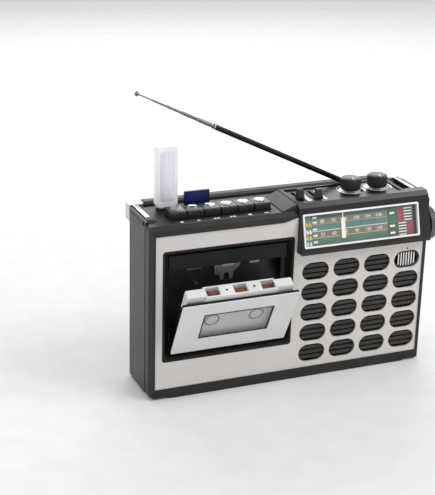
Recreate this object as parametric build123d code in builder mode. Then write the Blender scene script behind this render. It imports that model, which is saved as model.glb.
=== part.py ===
from build123d import *

import os
from math import cos, radians, sin

# Portable cassette recorder with a radio. Millimetres, +X right, +Y to the rear, +Z up.
# The origin is on the surface it stands on, at mid width, under the face of the front plate.

# cabinet
half_width = 137.5
base_z = 2.0
seam_y = 13.5
rear_y = 56.0
wall = 2.5
rear_wall = 3.5
shell_top_z = 160.3
deck_z = 163.4
plate_bottom_z = 9.5
plate_top_z = 155.4
plate_left_x = -132.8
plate_right_x = 132.5
plate_thickness = 1.6
fit_gap = 0.2

# speaker grille
grille_columns = 4
grille_rows = 5
grille_pitch_x = 31.5
grille_pitch_z = 20.35
grille_first_x = 21.7
grille_last_z = 23.5
cell_length = 27.0
cell_height = 17.0
louvres_per_cell = 3
louvre_pitch = 4.7
louvre_height = 3.3

# cassette bay and door
bay_x = (-126.1, -0.5)
bay_z = (35.6, 141.0)
bay_inner_x = (-118.4, -6.1)
bay_inner_z = (41.7, 134.4)
door_x = (-117.8, -6.8)
door_height = 65.0
door_thickness = 0.9
door_open_deg = 28.1
door_hinge_y = 8.0
door_hinge_z = 46.0
door_hinge_back = 7.92
chassis_y = 20.0

# compact cassette, in the door's own plane
cassette_x = (-112.5, -12.1)
cassette_centre_x = -62.3
cassette_y = (6.2, 70.0)
cassette_thin_z = (-14.35, -5.65)
cassette_thick_z = (-16.0, -4.0)
hub_pitch = 42.5
hub_up = 35.4
mouth_pitch = 26.0

# tuner
tuner_left_x = 2.5
tuner_right_x = 134.2
tuner_bottom_z = 125.0
tuner_deck_z = 170.0
tray_z = 168.4
dial_tilt_deg = 15.0
dial_foot_y = -9.5
dial_foot_z = 128.6
dial_x = (5.2, 122.8)
dial_up = (2.6, 33.6)
dial_stroke = 1.6
pointer_x = 46.4

# keys
key_count = 6
key_pitch = 16.0
key_first_x = -105.5
key_width = 15.3
key_y = (17.0, 33.6)
key_top_z = 170.0
key_axle_y = 46.0
key_axle_z = 140.5
key_axle_r = 1.5

# controls
knob_places = {"volume_knob": (67.5, 28.5), "tone_knob": (95.5, 29.5)}
knob_r = 9.4
knob_z = (171.4, 180.6)
lever_places = {"function_lever": (12.5, 21.0), "band_lever": (29.0, 17.0)}
lever_slot_y = (12.8, 39.0)
wheel_y = 10.5
wheel_z = 135.0
wheel_r = 15.5

# handle
arm_x = (128.6, 134.6)
channel_x = (128.0, 135.0)
channel_floor_z = 158.3
arm_z = (158.8, 165.5)
handle_pivot_y = 18.0
handle_pivot_z = 162.5
corner_y = 59.0
handle_rear_y = 72.0

# antenna
antenna_x = 74.4
antenna_y = 51.5
antenna_z = 168.4
antenna_elevation_deg = 25.9
tube_end = 150.3
stage_radii = (1.9, 1.6, 1.3, 1.0, 0.7)
stage_lengths = (136.0, 132.0, 128.0, 124.0, 120.0)
stage_shown = (17.4, 15.9, 16.3, 14.8, 14.0)
stage_wall = 0.25
slide_gap = 0.05

# sticks and cards
usb_x = (-118.1, -97.3)
usb_y = (40.7, 48.7)
usb_z = (165.6, 222.9)
usb_socket_x = (-114.6, -100.8)
usb_socket_y = (41.6, 47.8)
card_x = (-91.0, -67.0)
card_y = (42.2, 44.3)
card_z = (146.9, 178.9)

# battery door and mains inlet
battery_x = (-117.0, -15.0)
battery_z = (9.0, 62.8)
battery_axis_y = 55.0
battery_axis_z = 10.6
battery_depth_y = 27.0
inlet_x = 40.0
inlet_z = 20.0
screw_places = [(-126.0, 14.0), (126.0, 14.0), (-126.0, 148.0), (126.0, 148.0)]

written = []


def save(name, builder):
    """Label a finished piece and write its STEP file."""
    builder.part.label = name
    export_step(builder.part, f"parts/{name}.step")
    written.append(name)


def front(y):
    """Return the plane of a front view at depth y: its own x is X and its y is Z."""
    return Plane.XZ.offset(-y)


def side(x):
    """Return the plane of a side view at width x: its own x is Y and its y is Z."""
    return Plane.YZ.offset(x)


def block(x, y, z, mode=Mode.ADD):
    """Add or cut a box given by its low and high places on each axis."""
    with Locations(((x[0] + x[1]) / 2, (y[0] + y[1]) / 2, (z[0] + z[1]) / 2)):
        Box(x[1] - x[0], y[1] - y[0], z[1] - z[0], mode=mode)


def rectangle(x, y, radius=0.0, mode=Mode.ADD):
    """Draw a rectangle given by its low and high places, with rounded corners if asked."""
    with Locations(((x[0] + x[1]) / 2, (y[0] + y[1]) / 2)):
        if radius:
            RectangleRounded(x[1] - x[0], y[1] - y[0], radius, mode=mode)
        else:
            Rectangle(x[1] - x[0], y[1] - y[0], mode=mode)


def outline(*points):
    """Draw a filled polygon through the points."""
    Polygon(*points, align=None)


def rod_along_x(x, y, z, radius, mode=Mode.ADD):
    """Add or cut a round rod that runs along X between two places."""
    with BuildSketch(side(x[0])) as profile:
        with Locations((y, z)):
            Circle(radius)
    extrude(profile.sketch, amount=x[1] - x[0], mode=mode)


def rod_along_y(y, x, z, radius, mode=Mode.ADD):
    """Add or cut a round rod that runs along Y between two places."""
    with BuildSketch(front(y[0])) as profile:
        with Locations((x, z)):
            Circle(radius)
    extrude(profile.sketch, amount=-(y[1] - y[0]), mode=mode)


def rod_along_z(z, x, y, radius, mode=Mode.ADD):
    """Add or cut a round rod that runs along Z between two places."""
    with BuildSketch(Plane.XY.offset(z[0])) as profile:
        with Locations((x, y)):
            Circle(radius)
    extrude(profile.sketch, amount=z[1] - z[0], mode=mode)


def grow(span, by):
    """Return a span made wider by the same amount at both ends."""
    return (span[0] - by, span[1] + by)


grille_cells = [
    (grille_first_x + column * grille_pitch_x, grille_last_z + row * grille_pitch_z)
    for column in range(grille_columns)
    for row in range(grille_rows)
]
mic_cell = grille_cells[-1]
speaker_cells = grille_cells[:-1]
grille_panel_x = (6.2, 130.8)
grille_panel_z = (12.2, 116.8)
key_centres = [key_first_x + i * key_pitch for i in range(key_count)]

door_lean = radians(door_open_deg)
door_plane = Plane(
    origin=(
        0,
        door_hinge_y - door_hinge_back * cos(door_lean),
        door_hinge_z - door_hinge_back * sin(door_lean),
    ),
    x_dir=(1, 0, 0),
    z_dir=(0, -cos(door_lean), -sin(door_lean)),
)
dial_lean = radians(dial_tilt_deg)
dial_plane = Plane(
    origin=(0, dial_foot_y, dial_foot_z),
    x_dir=(1, 0, 0),
    z_dir=(0, -cos(dial_lean), sin(dial_lean)),
)
antenna_rise = radians(antenna_elevation_deg)
antenna_way = (-cos(antenna_rise), 0, sin(antenna_rise))


def along_antenna(distance):
    """Return the plane square to the antenna at a distance from its pivot."""
    pivot = Vector(antenna_x, antenna_y, antenna_z)
    return Plane(origin=pivot + Vector(*antenna_way) * distance, x_dir=(0, 1, 0), z_dir=antenna_way)


def slab(plane, x, y, z, radius=0.0, mode=Mode.ADD):
    """Add or cut a slab between two heights over a tilted plane."""
    with BuildSketch(plane.offset(z[0])) as profile:
        rectangle(x, y, radius)
    extrude(profile.sketch, amount=z[1] - z[0], mode=mode)


os.makedirs("parts", exist_ok=True)

# ---------------------------------------------------------------- cabinet front
# The bezel is the black front moulding: a border round the plate, the wall behind the plate
# and the top edge that rounds over to the deck.
front_lip_y = -1.0
inner_front_y = (1.9, 4.1)
tuner_notch_x = (tuner_left_x - 0.2, tuner_right_x + 0.2)
with BuildPart() as front_bezel:
    with BuildSketch(front(front_lip_y)):
        rectangle((-half_width, half_width), (base_z, deck_z), 3.0)
    extrude(amount=-(seam_y - front_lip_y))
    with BuildSketch(side(-half_width - 1)):
        outline((front_lip_y - 1, 156.3), (front_lip_y, 156.3), (0.6, 160.2), (4.6, 163.6),
                (front_lip_y - 1, 163.6))
    extrude(amount=2 * half_width + 2, mode=Mode.SUBTRACT)
    for s in (-1, 1):
        with BuildSketch(Plane.XY):
            outline(
                (s * (half_width - 2.5), front_lip_y),
                (s * half_width, front_lip_y + 5.0),
                (s * (half_width + 1), front_lip_y + 5.0),
                (s * (half_width + 1), front_lip_y - 1),
                (s * (half_width - 2.5), front_lip_y - 1),
            )
        extrude(amount=deck_z + 1, mode=Mode.SUBTRACT)
    with BuildSketch(front(front_lip_y - 1)):
        outline(
            (plate_left_x, plate_bottom_z),
            (plate_right_x, plate_bottom_z),
            (plate_right_x, tuner_bottom_z),
            (tuner_left_x, tuner_bottom_z),
            (tuner_left_x, plate_top_z + 3.4),
            (-12.0, plate_top_z),
            (plate_left_x, plate_top_z),
        )
    extrude(amount=-(inner_front_y[0] - front_lip_y + 1), mode=Mode.SUBTRACT)
    inner_x = grow((-half_width, half_width), -3.0)
    block(inner_x, (inner_front_y[1], seam_y + 1), (base_z + wall, 160.4), Mode.SUBTRACT)
    block(bay_x, (0, seam_y), bay_z, Mode.SUBTRACT)
    block(grow(grille_panel_x, 0.2), (0, seam_y), grow(grille_panel_z, 0.2), Mode.SUBTRACT)
    block(tuner_notch_x, (front_lip_y - 1, seam_y + 1), (tuner_bottom_z - 0.2, deck_z + 1), Mode.SUBTRACT)
    rod_along_x((half_width - 5, half_width + 1), wheel_y, wheel_z, 2.9, Mode.SUBTRACT)
save("front_bezel", front_bezel)

with BuildPart() as front_plate:
    with BuildSketch(front(0)):
        outline(
            (plate_left_x + fit_gap, plate_bottom_z + fit_gap),
            (plate_right_x - fit_gap, plate_bottom_z + fit_gap),
            (plate_right_x - fit_gap, tuner_bottom_z - 0.6),
            (tuner_left_x - 0.4, tuner_bottom_z - 0.6),
            (tuner_left_x - 0.4, plate_top_z + 2.9),
            (-12.0, plate_top_z - fit_gap),
            (plate_left_x + fit_gap, plate_top_z - fit_gap),
        )
        rectangle(bay_x, bay_z, 3.0, Mode.SUBTRACT)
        with Locations(*grille_cells):
            SlotOverall(cell_length, cell_height, mode=Mode.SUBTRACT)
        with Locations((mic_cell[0] - 0.2, mic_cell[1] + 10.7)):
            Circle(0.9, mode=Mode.SUBTRACT)
    extrude(amount=-plate_thickness)
save("front_plate", front_plate)

# The grille panel has one pocket of level louvres behind each opening of the plate.
with BuildPart() as speaker_grille:
    with BuildSketch(front(2.0)):
        rectangle(grille_panel_x, grille_panel_z)
        with Locations(*grille_cells):
            SlotOverall(cell_length - 0.4, cell_height - 0.4, mode=Mode.SUBTRACT)
        with Locations(*speaker_cells):
            with GridLocations(0, louvre_pitch, 1, louvres_per_cell):
                Rectangle(cell_length - 1, louvre_height)
    extrude(amount=-2.4)
save("speaker_grille", speaker_grille)

with BuildPart() as mic_grille:
    with BuildSketch(front(1.8)):
        with Locations(mic_cell):
            SlotOverall(cell_length - 0.8, cell_height - 0.8)
            SlotOverall(cell_length - 3.4, cell_height - 3.4, mode=Mode.SUBTRACT)
            with GridLocations(2.7, 0, 7, 1):
                Rectangle(1.4, cell_height - 3.2)
    extrude(amount=-2.4)
save("mic_grille", mic_grille)

# ---------------------------------------------------------------- speaker
speaker_x = 69.0
speaker_z = 63.0
speaker_plane = Plane(origin=(speaker_x, 0, speaker_z))
speaker_axis = Axis((speaker_x, 0, speaker_z), (0, 1, 0))
with BuildPart() as speaker:
    with BuildSketch(speaker_plane):
        outline((47, 5), (47, 6.6), (41.5, 6.6), (24.4, 25), (0, 25), (0, 23.4), (23.5, 23.4), (39.8, 5))
    revolve(axis=speaker_axis)
    with BuildSketch(speaker_plane):
        outline((38.6, 4.8), (38.6, 5.6), (12, 17.6), (0, 14.4), (0, 13.6), (11.6, 16.6))
    revolve(axis=speaker_axis)
    with BuildSketch(speaker_plane):
        outline((0, 25), (22, 25), (22, 36), (10, 37), (0, 37))
    revolve(axis=speaker_axis)
save("speaker", speaker)

# ---------------------------------------------------------------- cassette bay
bay_lug_y = (6.0, 18.0)
with BuildPart() as bay_frame:
    with BuildSketch(front(-0.4)):
        rectangle(grow(bay_x, -fit_gap), grow(bay_z, -fit_gap), 2.8)
    extrude(amount=-9.4)
    with BuildSketch(front(-0.4)):
        rectangle(grow(bay_x, -2.2), grow(bay_z, -2.2), 2.0)
    with BuildSketch(front(6.0)):
        rectangle(bay_inner_x, bay_inner_z, 1.0)
    loft(mode=Mode.SUBTRACT)
    block(bay_inner_x, (5.5, 10), bay_inner_z, Mode.SUBTRACT)
    for x in ((bay_inner_x[0] - 3, bay_inner_x[0]), (bay_inner_x[1], bay_inner_x[1] + 3)):
        block(x, bay_lug_y, (bay_inner_z[0] - 3, 56.0))
        block(x, (6.0, chassis_y - 0.1), (100.0, bay_inner_z[1] + 3))
    # dark fascia across the top of the bay and the narrow strip down its right side
    block(bay_inner_x, (4.6, 6.6), (121.0, bay_inner_z[1]))
    block((bay_inner_x[1] - 4.4, bay_inner_x[1]), (6.6, 8.6), (100.0, 134.4))
    rod_along_x((bay_x[0], bay_x[1]), door_hinge_y, door_hinge_z, 1.56, Mode.SUBTRACT)
save("bay_frame", bay_frame)

spindle_xs = (cassette_centre_x - hub_pitch / 2, cassette_centre_x + hub_pitch / 2)
spindle_z = door_hinge_z + hub_up
capstan_x = -92.0
capstan_z = 105.5
guide_pin_xs = (-79.0, -44.0)
with BuildPart() as mech_chassis:
    block((-121.0, -4.0), (chassis_y, chassis_y + 1.5), (36.5, 139.0))
    for x in spindle_xs:
        rod_along_y((chassis_y - 1, chassis_y + 3), x, spindle_z, 3.06, Mode.SUBTRACT)
    rod_along_y((chassis_y - 1, chassis_y + 3), capstan_x, capstan_z, 1.25, Mode.SUBTRACT)
    # the two guide pins that the head plate slides on
    for x in guide_pin_xs:
        block((x - 1.4, x + 1.4), (16.5, chassis_y), (119.0, 121.4))
save("mech_chassis", mech_chassis)

for name, x in zip(("supply_spindle", "take_up_spindle"), spindle_xs):
    with BuildPart() as spindle:
        with BuildSketch(Plane(origin=(x, 0, spindle_z))):
            outline((0, 8.6), (1.6, 8.6), (2.6, 10.4), (2.6, 16.8), (8, 16.8), (8, 19.3), (3, 19.3),
                    (3, 22.2), (12, 22.2), (12, 24.6), (0, 24.6))
        revolve(axis=Axis((x, 0, spindle_z), (0, 1, 0)))
        with BuildSketch(front(10.4)):
            with Locations((x, spindle_z)):
                with PolarLocations(0, 3):
                    Rectangle(7.0, 1.2)
        extrude(amount=-5)
    save(name, spindle)

with BuildPart() as capstan_flywheel:
    rod_along_y((6.5, 45.0), capstan_x, capstan_z, 1.2)
    rod_along_y((36.0, 43.0), capstan_x, capstan_z, 23.0)
    with BuildSketch(Plane(origin=(capstan_x, 0, capstan_z))):
        outline((21.6, 38.5), (24, 38.0), (24, 41.0), (21.6, 40.5))
    revolve(axis=Axis((capstan_x, 0, capstan_z), (0, 1, 0)), mode=Mode.SUBTRACT)
save("capstan_flywheel", capstan_flywheel)

with BuildPart() as motor:
    rod_along_y((24.0, 36.0), -34.0, 114.0, 15.0)
    rod_along_y((36.0, 38.0), -34.0, 114.0, 1.0)
    rod_along_y((38.0, 42.0), -34.0, 114.0, 4.0)
    block((-21.0, -17.0), (22.0, 36.0), (106.0, 122.0))
save("motor", motor)

# The head plate is a comb of sheet metal with the playback and erase heads standing on it.
head_y = (17.6, 18.8)
roller_x = cassette_centre_x - mouth_pitch
roller_z = 124.4
with BuildPart() as head_plate:
    with BuildSketch(front(head_y[0])):
        outline((-97, 114), (-84, 114), (-82, 117), (-74, 117), (-74, 131), (-97, 131))
        outline((-75, 117), (-71, 117), (-70, 106), (-66, 106), (-65, 101), (-62, 101), (-61, 107),
                (-57, 107), (-56, 101), (-53, 101), (-52, 108), (-47, 112), (-44, 117), (-20, 117),
                (-20, 131), (-75, 131))
        for x in guide_pin_xs:
            rectangle((x - 1.8, x + 1.8), (118.4, 128.4), 0, Mode.SUBTRACT)
    extrude(amount=-(head_y[1] - head_y[0]))
    # each head has a thin nose that enters the mouth of the cassette when the plate comes down
    for x, width in ((cassette_centre_x, 12.0), (cassette_centre_x + mouth_pitch, 9.0)):
        block((x - width / 2, x + width / 2), (7.0, head_y[0]), (122.8, 127.0))
        block((x - width / 2, x + width / 2), (7.0, 14.0), (118.4, 122.8))
        block((x - width / 2 + 1, x + width / 2 - 1), (7.6, 13.4), (117.6, 118.4))
    rod_along_y((7.4, head_y[0]), roller_x, roller_z, 1.0)
    block((roller_x - 1.7, roller_x + 1.7), (7.2, 8.4), (122.8, 131.0))
    block((roller_x - 1.7, roller_x + 1.7), (7.2, head_y[0]), (130.0, 131.0))
save("head_plate", head_plate)

with BuildPart() as pinch_roller:
    rod_along_y((8.9, 14.1), roller_x, roller_z, 5.2)
    rod_along_y((8.0, 18.0), roller_x, roller_z, 1.06, Mode.SUBTRACT)
save("pinch_roller", pinch_roller)

# ---------------------------------------------------------------- cassette door
with BuildPart() as door_panel:
    slab(door_plane, door_x, (0, door_height), (-door_thickness, 0), 1.5)
    fillet(door_panel.faces().sort_by(Axis((0, 0, 0), door_plane.z_dir))[-1].edges(), 0.4)
    slab(door_plane, (-95.5, -28.5), (18.3, 51.0), (-door_thickness - 1, 1), 1.0, Mode.SUBTRACT)
save("door_panel", door_panel)

with BuildPart() as door_window:
    slab(door_plane, (-95.3, -28.7), (18.5, 50.8), (-2.2, -0.5), 0.9)
save("door_window", door_window)

carrier_x = grow(cassette_x, 1.5)
hinge_back = -door_hinge_back
with BuildPart() as door_carrier:
    slab(door_plane, grow(door_x, -0.3), (0.6, door_height - 0.3), (-3.6, -door_thickness), 1.2)
    slab(door_plane, (-95.5, -28.5), (18.3, 51.0), (-4.0, -0.6), 1.0, Mode.SUBTRACT)
    slab(door_plane, carrier_x, (3.0, 5.6), (-16.2, -3.6))
    for x in ((carrier_x[0], carrier_x[0] + 1.0), (carrier_x[1] - 1.0, carrier_x[1])):
        slab(door_plane, x, (3.0, 50.0), (-16.2, -3.6))
    for x in ((carrier_x[0], carrier_x[0] + 9.0), (carrier_x[1] - 9.0, carrier_x[1])):
        slab(door_plane, x, (3.0, 42.0), (-16.2, -15.0))
    for x in ((bay_inner_x[0] + 0.4, carrier_x[0]), (carrier_x[1], bay_inner_x[1] - 0.4)):
        rod_along_x(x, door_hinge_y, door_hinge_z, 3.4)
        slab(door_plane, x, (1.5, 6.0), (hinge_back, -door_thickness))
        slab(door_plane, x, (-0.5, 6.0), (hinge_back - 0.5, hinge_back + 3.0))
    rod_along_x((bay_inner_x[0] - 2.4, carrier_x[0]), door_hinge_y, door_hinge_z, 1.5)
    rod_along_x((carrier_x[1], bay_inner_x[1] + 2.4), door_hinge_y, door_hinge_z, 1.5)
save("door_carrier", door_carrier)

# ---------------------------------------------------------------- cassette
mouth_offsets = (-mouth_pitch, 0.0, mouth_pitch)
reel_z = (-12.8, -7.2)
with BuildPart() as cassette_shell:
    slab(door_plane, cassette_x, cassette_y, cassette_thin_z, 1.5)
    with BuildSketch(door_plane.offset(cassette_thick_z[0])):
        outline(
            (cassette_centre_x - 36.5, 53.0),
            (cassette_centre_x + 36.5, 53.0),
            (cassette_centre_x + 33.5, cassette_y[1]),
            (cassette_centre_x - 33.5, cassette_y[1]),
        )
    extrude(amount=cassette_thick_z[1] - cassette_thick_z[0])
    hollow_y = (cassette_y[0] + 1.6, 61.5)
    slab(door_plane, grow(cassette_x, -1.6), hollow_y, (-13.15, -6.85), 0, Mode.SUBTRACT)
    for x in spindle_xs:
        with BuildSketch(door_plane.offset(-20)):
            with Locations((x, hub_up)):
                Circle(5.6)
        extrude(amount=20, mode=Mode.SUBTRACT)
    for offset in mouth_offsets:
        x = cassette_centre_x + offset
        slab(door_plane, (x - 6.4, x + 6.4), (62.0, cassette_y[1] + 1), (-14.6, -5.4), 0, Mode.SUBTRACT)
    for offset in (-29.7, 29.7):
        with BuildSketch(door_plane.offset(-20)):
            with Locations((cassette_centre_x + offset, 59.5)):
                Circle(3.0)
        extrude(amount=20, mode=Mode.SUBTRACT)
    tape_window_x = (cassette_centre_x - 8, cassette_centre_x + 8)
    slab(door_plane, tape_window_x, (29.0, 41.0), (-20, -1), 1, Mode.SUBTRACT)
save("cassette_shell", cassette_shell)

for name, x, tape_r in zip(("left_reel", "right_reel"), spindle_xs, (21.0, 13.5)):
    with BuildPart() as reel:
        with BuildSketch(door_plane.offset(reel_z[0])):
            with Locations((x, hub_up)):
                Circle(tape_r)
                Circle(5.1, mode=Mode.SUBTRACT)
                with PolarLocations(4.6, 6):
                    Rectangle(1.4, 1.2)
        extrude(amount=reel_z[1] - reel_z[0])
    save(name, reel)

# ---------------------------------------------------------------- top deck
key_slot_x = (key_centres[0] - key_pitch / 2 - 0.4, key_centres[-1] + key_pitch / 2 + 0.4)
block_x = (tuner_left_x, 114.0)
block_y = (9.7, 46.8)
well_x = (5.0, 111.5)
well_y = (12.5, 44.3)
with BuildPart() as top_deck:
    block((-half_width, half_width), (seam_y, rear_y), (shell_top_z + 0.1, deck_z))
    for s in (-1, 1):
        rail = sorted((s * channel_x[1], s * half_width))
        trough = sorted((s * (channel_x[0] - 2.5), s * (channel_x[1] - 0.3)))
        channel = sorted((s * channel_x[0], s * channel_x[1]))
        block(rail, (seam_y, rear_y), (deck_z, 164.9))
        block(trough, (seam_y, rear_y - rear_wall - 0.2), (channel_floor_z - 2.4, shell_top_z + 0.1))
        block(channel, (seam_y + 0.4, rear_y + 1), (channel_floor_z, 170.0), Mode.SUBTRACT)
        rod_along_x((min(trough), max(trough)), handle_pivot_y, handle_pivot_z, 2.06, Mode.SUBTRACT)
        rod_along_x((min(rail), max(rail)), handle_pivot_y, handle_pivot_z, 2.06, Mode.SUBTRACT)
    block((114.3, channel_x[0] + 1), (seam_y + 0.4, rear_y - 4.0), (161.6, 170.0), Mode.SUBTRACT)
    block(key_slot_x, (14.0, 34.2), (150, 170), Mode.SUBTRACT)
    block(well_x, well_y, (150, 170), Mode.SUBTRACT)
    # low collar that the stick stands on
    block(grow(usb_socket_x, 1.5), grow(usb_socket_y, 0.5), (deck_z - 1, usb_z[0] - 0.3))
    block(usb_socket_x, usb_socket_y, (150, 170), Mode.SUBTRACT)
    block(grow(card_x, 0.5), grow(card_y, 0.5), (150, 170), Mode.SUBTRACT)
    rod_along_z((150, 170), antenna_x, antenna_y, 2.56, Mode.SUBTRACT)
save("top_deck", top_deck)

with BuildPart() as key_axle:
    rod_along_x((key_slot_x[0] - 4, key_slot_x[1] + 4), key_axle_y, key_axle_z, key_axle_r)
    for x in (key_slot_x[0] - 3, key_slot_x[1] + 3):
        block((x - 1, x + 1), (key_axle_y - 3, key_axle_y + 3), (key_axle_z - 3, shell_top_z))
save("key_axle", key_axle)

key_names = ("record_key", "play_key", "rewind_key", "forward_key", "stop_key", "pause_key")
for name, x in zip(key_names, key_centres):
    with BuildPart() as key:
        with BuildSketch(side(x - key_width / 2)):
            outline(
                (key_y[0], 160.0),
                (key_y[0], key_top_z - 1.0),
                (key_y[0] + 1.0, key_top_z),
                (key_y[1] - 0.8, key_top_z),
                (key_y[1], key_top_z - 0.8),
                (key_y[1], 160.0),
            )
        extrude(amount=key_width)
        fillet(key.edges().filter_by(Axis.Z), 0.5)
        with BuildSketch(side(x - 2.5)):
            outline((24.0, 160.0), (33.4, 160.0), (33.4, 144.4), (46.0, 143.2),
                    (46.0, 137.8), (30.0, 140.0), (24.0, 146.0))
            with Locations((key_axle_y, key_axle_z)):
                Circle(2.8)
                Circle(key_axle_r + 0.06, mode=Mode.SUBTRACT)
        extrude(amount=5.0)
    save(name, key)

# ---------------------------------------------------------------- tuner
with BuildPart() as tuner_deck:
    block(block_x, block_y, (deck_z, tuner_deck_z))
    block((6.0, 110.5), (9.0, 44.0), (tray_z, tuner_deck_z + 1), Mode.SUBTRACT)
    block(well_x, well_y, (deck_z - 1, tray_z - 2.2), Mode.SUBTRACT)
    for x, y in knob_places.values():
        rod_along_z((160, 175), x, y, 3.3, Mode.SUBTRACT)
    for x, _ in lever_places.values():
        block((x - 1.6, x + 1.6), lever_slot_y, (160, 175), Mode.SUBTRACT)
    # ramp that joins the low deck to the tuner block
    with BuildSketch(front(4.6)):
        outline((-11.5, deck_z), (tuner_left_x, deck_z), (tuner_left_x, tuner_deck_z - 0.6),
                (-1.5, 168.2), (-11.5, 164.2))
    extrude(amount=-42.2)
save("tuner_deck", tuner_deck)

with BuildPart() as control_plate:
    block((37.0, 109.0), (11.0, 43.0), (tray_z, tray_z + 0.6))
    for x, y in knob_places.values():
        rod_along_z((160, 175), x, y, 3.6, Mode.SUBTRACT)
save("control_plate", control_plate)

housing_back_y = 9.5
with BuildPart() as dial_housing:
    with BuildSketch(side(tuner_left_x)):
        outline((dial_foot_y, tuner_bottom_z), (dial_foot_y, dial_foot_z), (0.6, 166.3), (4.4, tuner_deck_z),
                (housing_back_y, tuner_deck_z), (housing_back_y, tuner_bottom_z))
    extrude(amount=tuner_right_x - tuner_left_x)
    with BuildSketch(side(tuner_left_x + wall)):
        outline((-6.8, 127.6), (-6.8, 129.0), (3.0, 165.6), (5.4, 167.6), (10.0, 167.6), (10.0, 127.6))
    extrude(amount=tuner_right_x - tuner_left_x - 2 * wall, mode=Mode.SUBTRACT)
    block((114.3, tuner_right_x), (housing_back_y, seam_y - 0.2), (166.0, tuner_deck_z))
    block((114.3, tuner_right_x), (housing_back_y - 3, seam_y - 0.2), (160.6, 166.0))
    slab(dial_plane, grow(dial_x, 0.2), grow(dial_up, 0.2), (-6, 6), 1.0, Mode.SUBTRACT)
    rod_along_x((tuner_right_x - 4, tuner_right_x + 1), wheel_y, wheel_z, 2.9, Mode.SUBTRACT)
save("dial_housing", dial_housing)

dial_inner_x = grow(dial_x, -dial_stroke)
dial_inner_up = grow(dial_up, -dial_stroke)
with BuildPart() as dial_frame:
    slab(dial_plane, dial_x, dial_up, (-2.2, 0.9), 1.4)
    fillet(dial_frame.faces().sort_by(Axis((0, 0, 0), dial_plane.z_dir))[-1].edges(), 0.5)
    slab(dial_plane, dial_inner_x, dial_inner_up, (-3, 2), 0.8, Mode.SUBTRACT)
save("dial_frame", dial_frame)

with BuildPart() as dial_lens:
    slab(dial_plane, grow(dial_inner_x, -0.1), grow(dial_inner_up, -0.1), (-1.6, -0.2), 0.7)
save("dial_lens", dial_lens)

rail_y = 3.9
rail_z = 160.0
with BuildPart() as dial_scale:
    slab(dial_plane, (5.4, 124.0), (1.5, 31.2), (-4.8, -4.0))
    rod_along_x((tuner_left_x + wall, tuner_right_x - wall), rail_y, rail_z, 0.8)
save("dial_scale", dial_scale)

with BuildPart() as dial_pointer:
    slab(dial_plane, (pointer_x - 2.0, pointer_x + 2.0), (8.2, 26.6), (-3.4, -2.8))
    slab(dial_plane, (pointer_x - 0.5, pointer_x + 0.5), (26.0, 34.5), (-3.5, -2.8))
    with BuildSketch(side(pointer_x - 2.0)):
        outline((2.6, 158.4), (5.2, 158.4), (5.2, 161.6), (2.6, 161.6))
        with Locations((rail_y, rail_z)):
            Circle(0.86, mode=Mode.SUBTRACT)
    extrude(amount=4.0)
save("dial_pointer", dial_pointer)

with BuildPart() as tuning_wheel:
    rod_along_x((138.0, 143.7), wheel_y, wheel_z, wheel_r)
    rod_along_x((143.7, 144.5), wheel_y, wheel_z, wheel_r - 2.0)
    with BuildSketch(side(137.0)):
        with Locations((wheel_y, wheel_z)):
            with PolarLocations(wheel_r + 0.2, 36):
                Circle(0.8)
    extrude(amount=10.0, mode=Mode.SUBTRACT)
    rod_along_x((124.0, 138.0), wheel_y, wheel_z, 2.4)
    rod_along_x((124.0, 129.0), wheel_y, wheel_z, 6.0)
save("tuning_wheel", tuning_wheel)

# ---------------------------------------------------------------- knobs and levers
for name, (x, y) in knob_places.items():
    with BuildPart() as knob:
        rod_along_z((knob_z[0], knob_z[1] - 0.8), x, y, knob_r)
        rod_along_z((knob_z[1] - 0.8, knob_z[1]), x, y, knob_r - 0.8)
        with BuildSketch(Plane.XY.offset(knob_z[0] + 1.2)):
            with Locations((x, y)):
                with PolarLocations(knob_r + 0.15, 30):
                    Circle(0.55)
        extrude(amount=20, mode=Mode.SUBTRACT)
        rod_along_z((157.0, knob_z[0]), x, y, 3.0)
    save(name, knob)

with BuildPart() as panel_controls:
    for x, y in knob_places.values():
        rod_along_z((155.0, 165.6), x, y, 8.5)
        rod_along_z((154.0, 166.0), x, y, 3.06, Mode.SUBTRACT)
    for x, _ in lever_places.values():
        block((x - 4, x + 4), grow(lever_slot_y, -0.5), (155.0, 161.0))
save("panel_controls", panel_controls)

for name, (x, y) in lever_places.items():
    with BuildPart() as lever:
        block((x - 1.2, x + 1.2), (y - 2.2, y + 2.2), (162.0, 169.5))
        block((x - 3.2, x + 3.2), (y - 3.6, y + 3.6), (169.0, 171.0))
        with BuildSketch(side(x - 2.8)):
            outline((y - 3.0, 170.5), (y + 3.0, 170.5), (y + 1.8, 177.6), (y - 1.8, 177.6))
        extrude(amount=5.6)
    save(name, lever)

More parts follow.
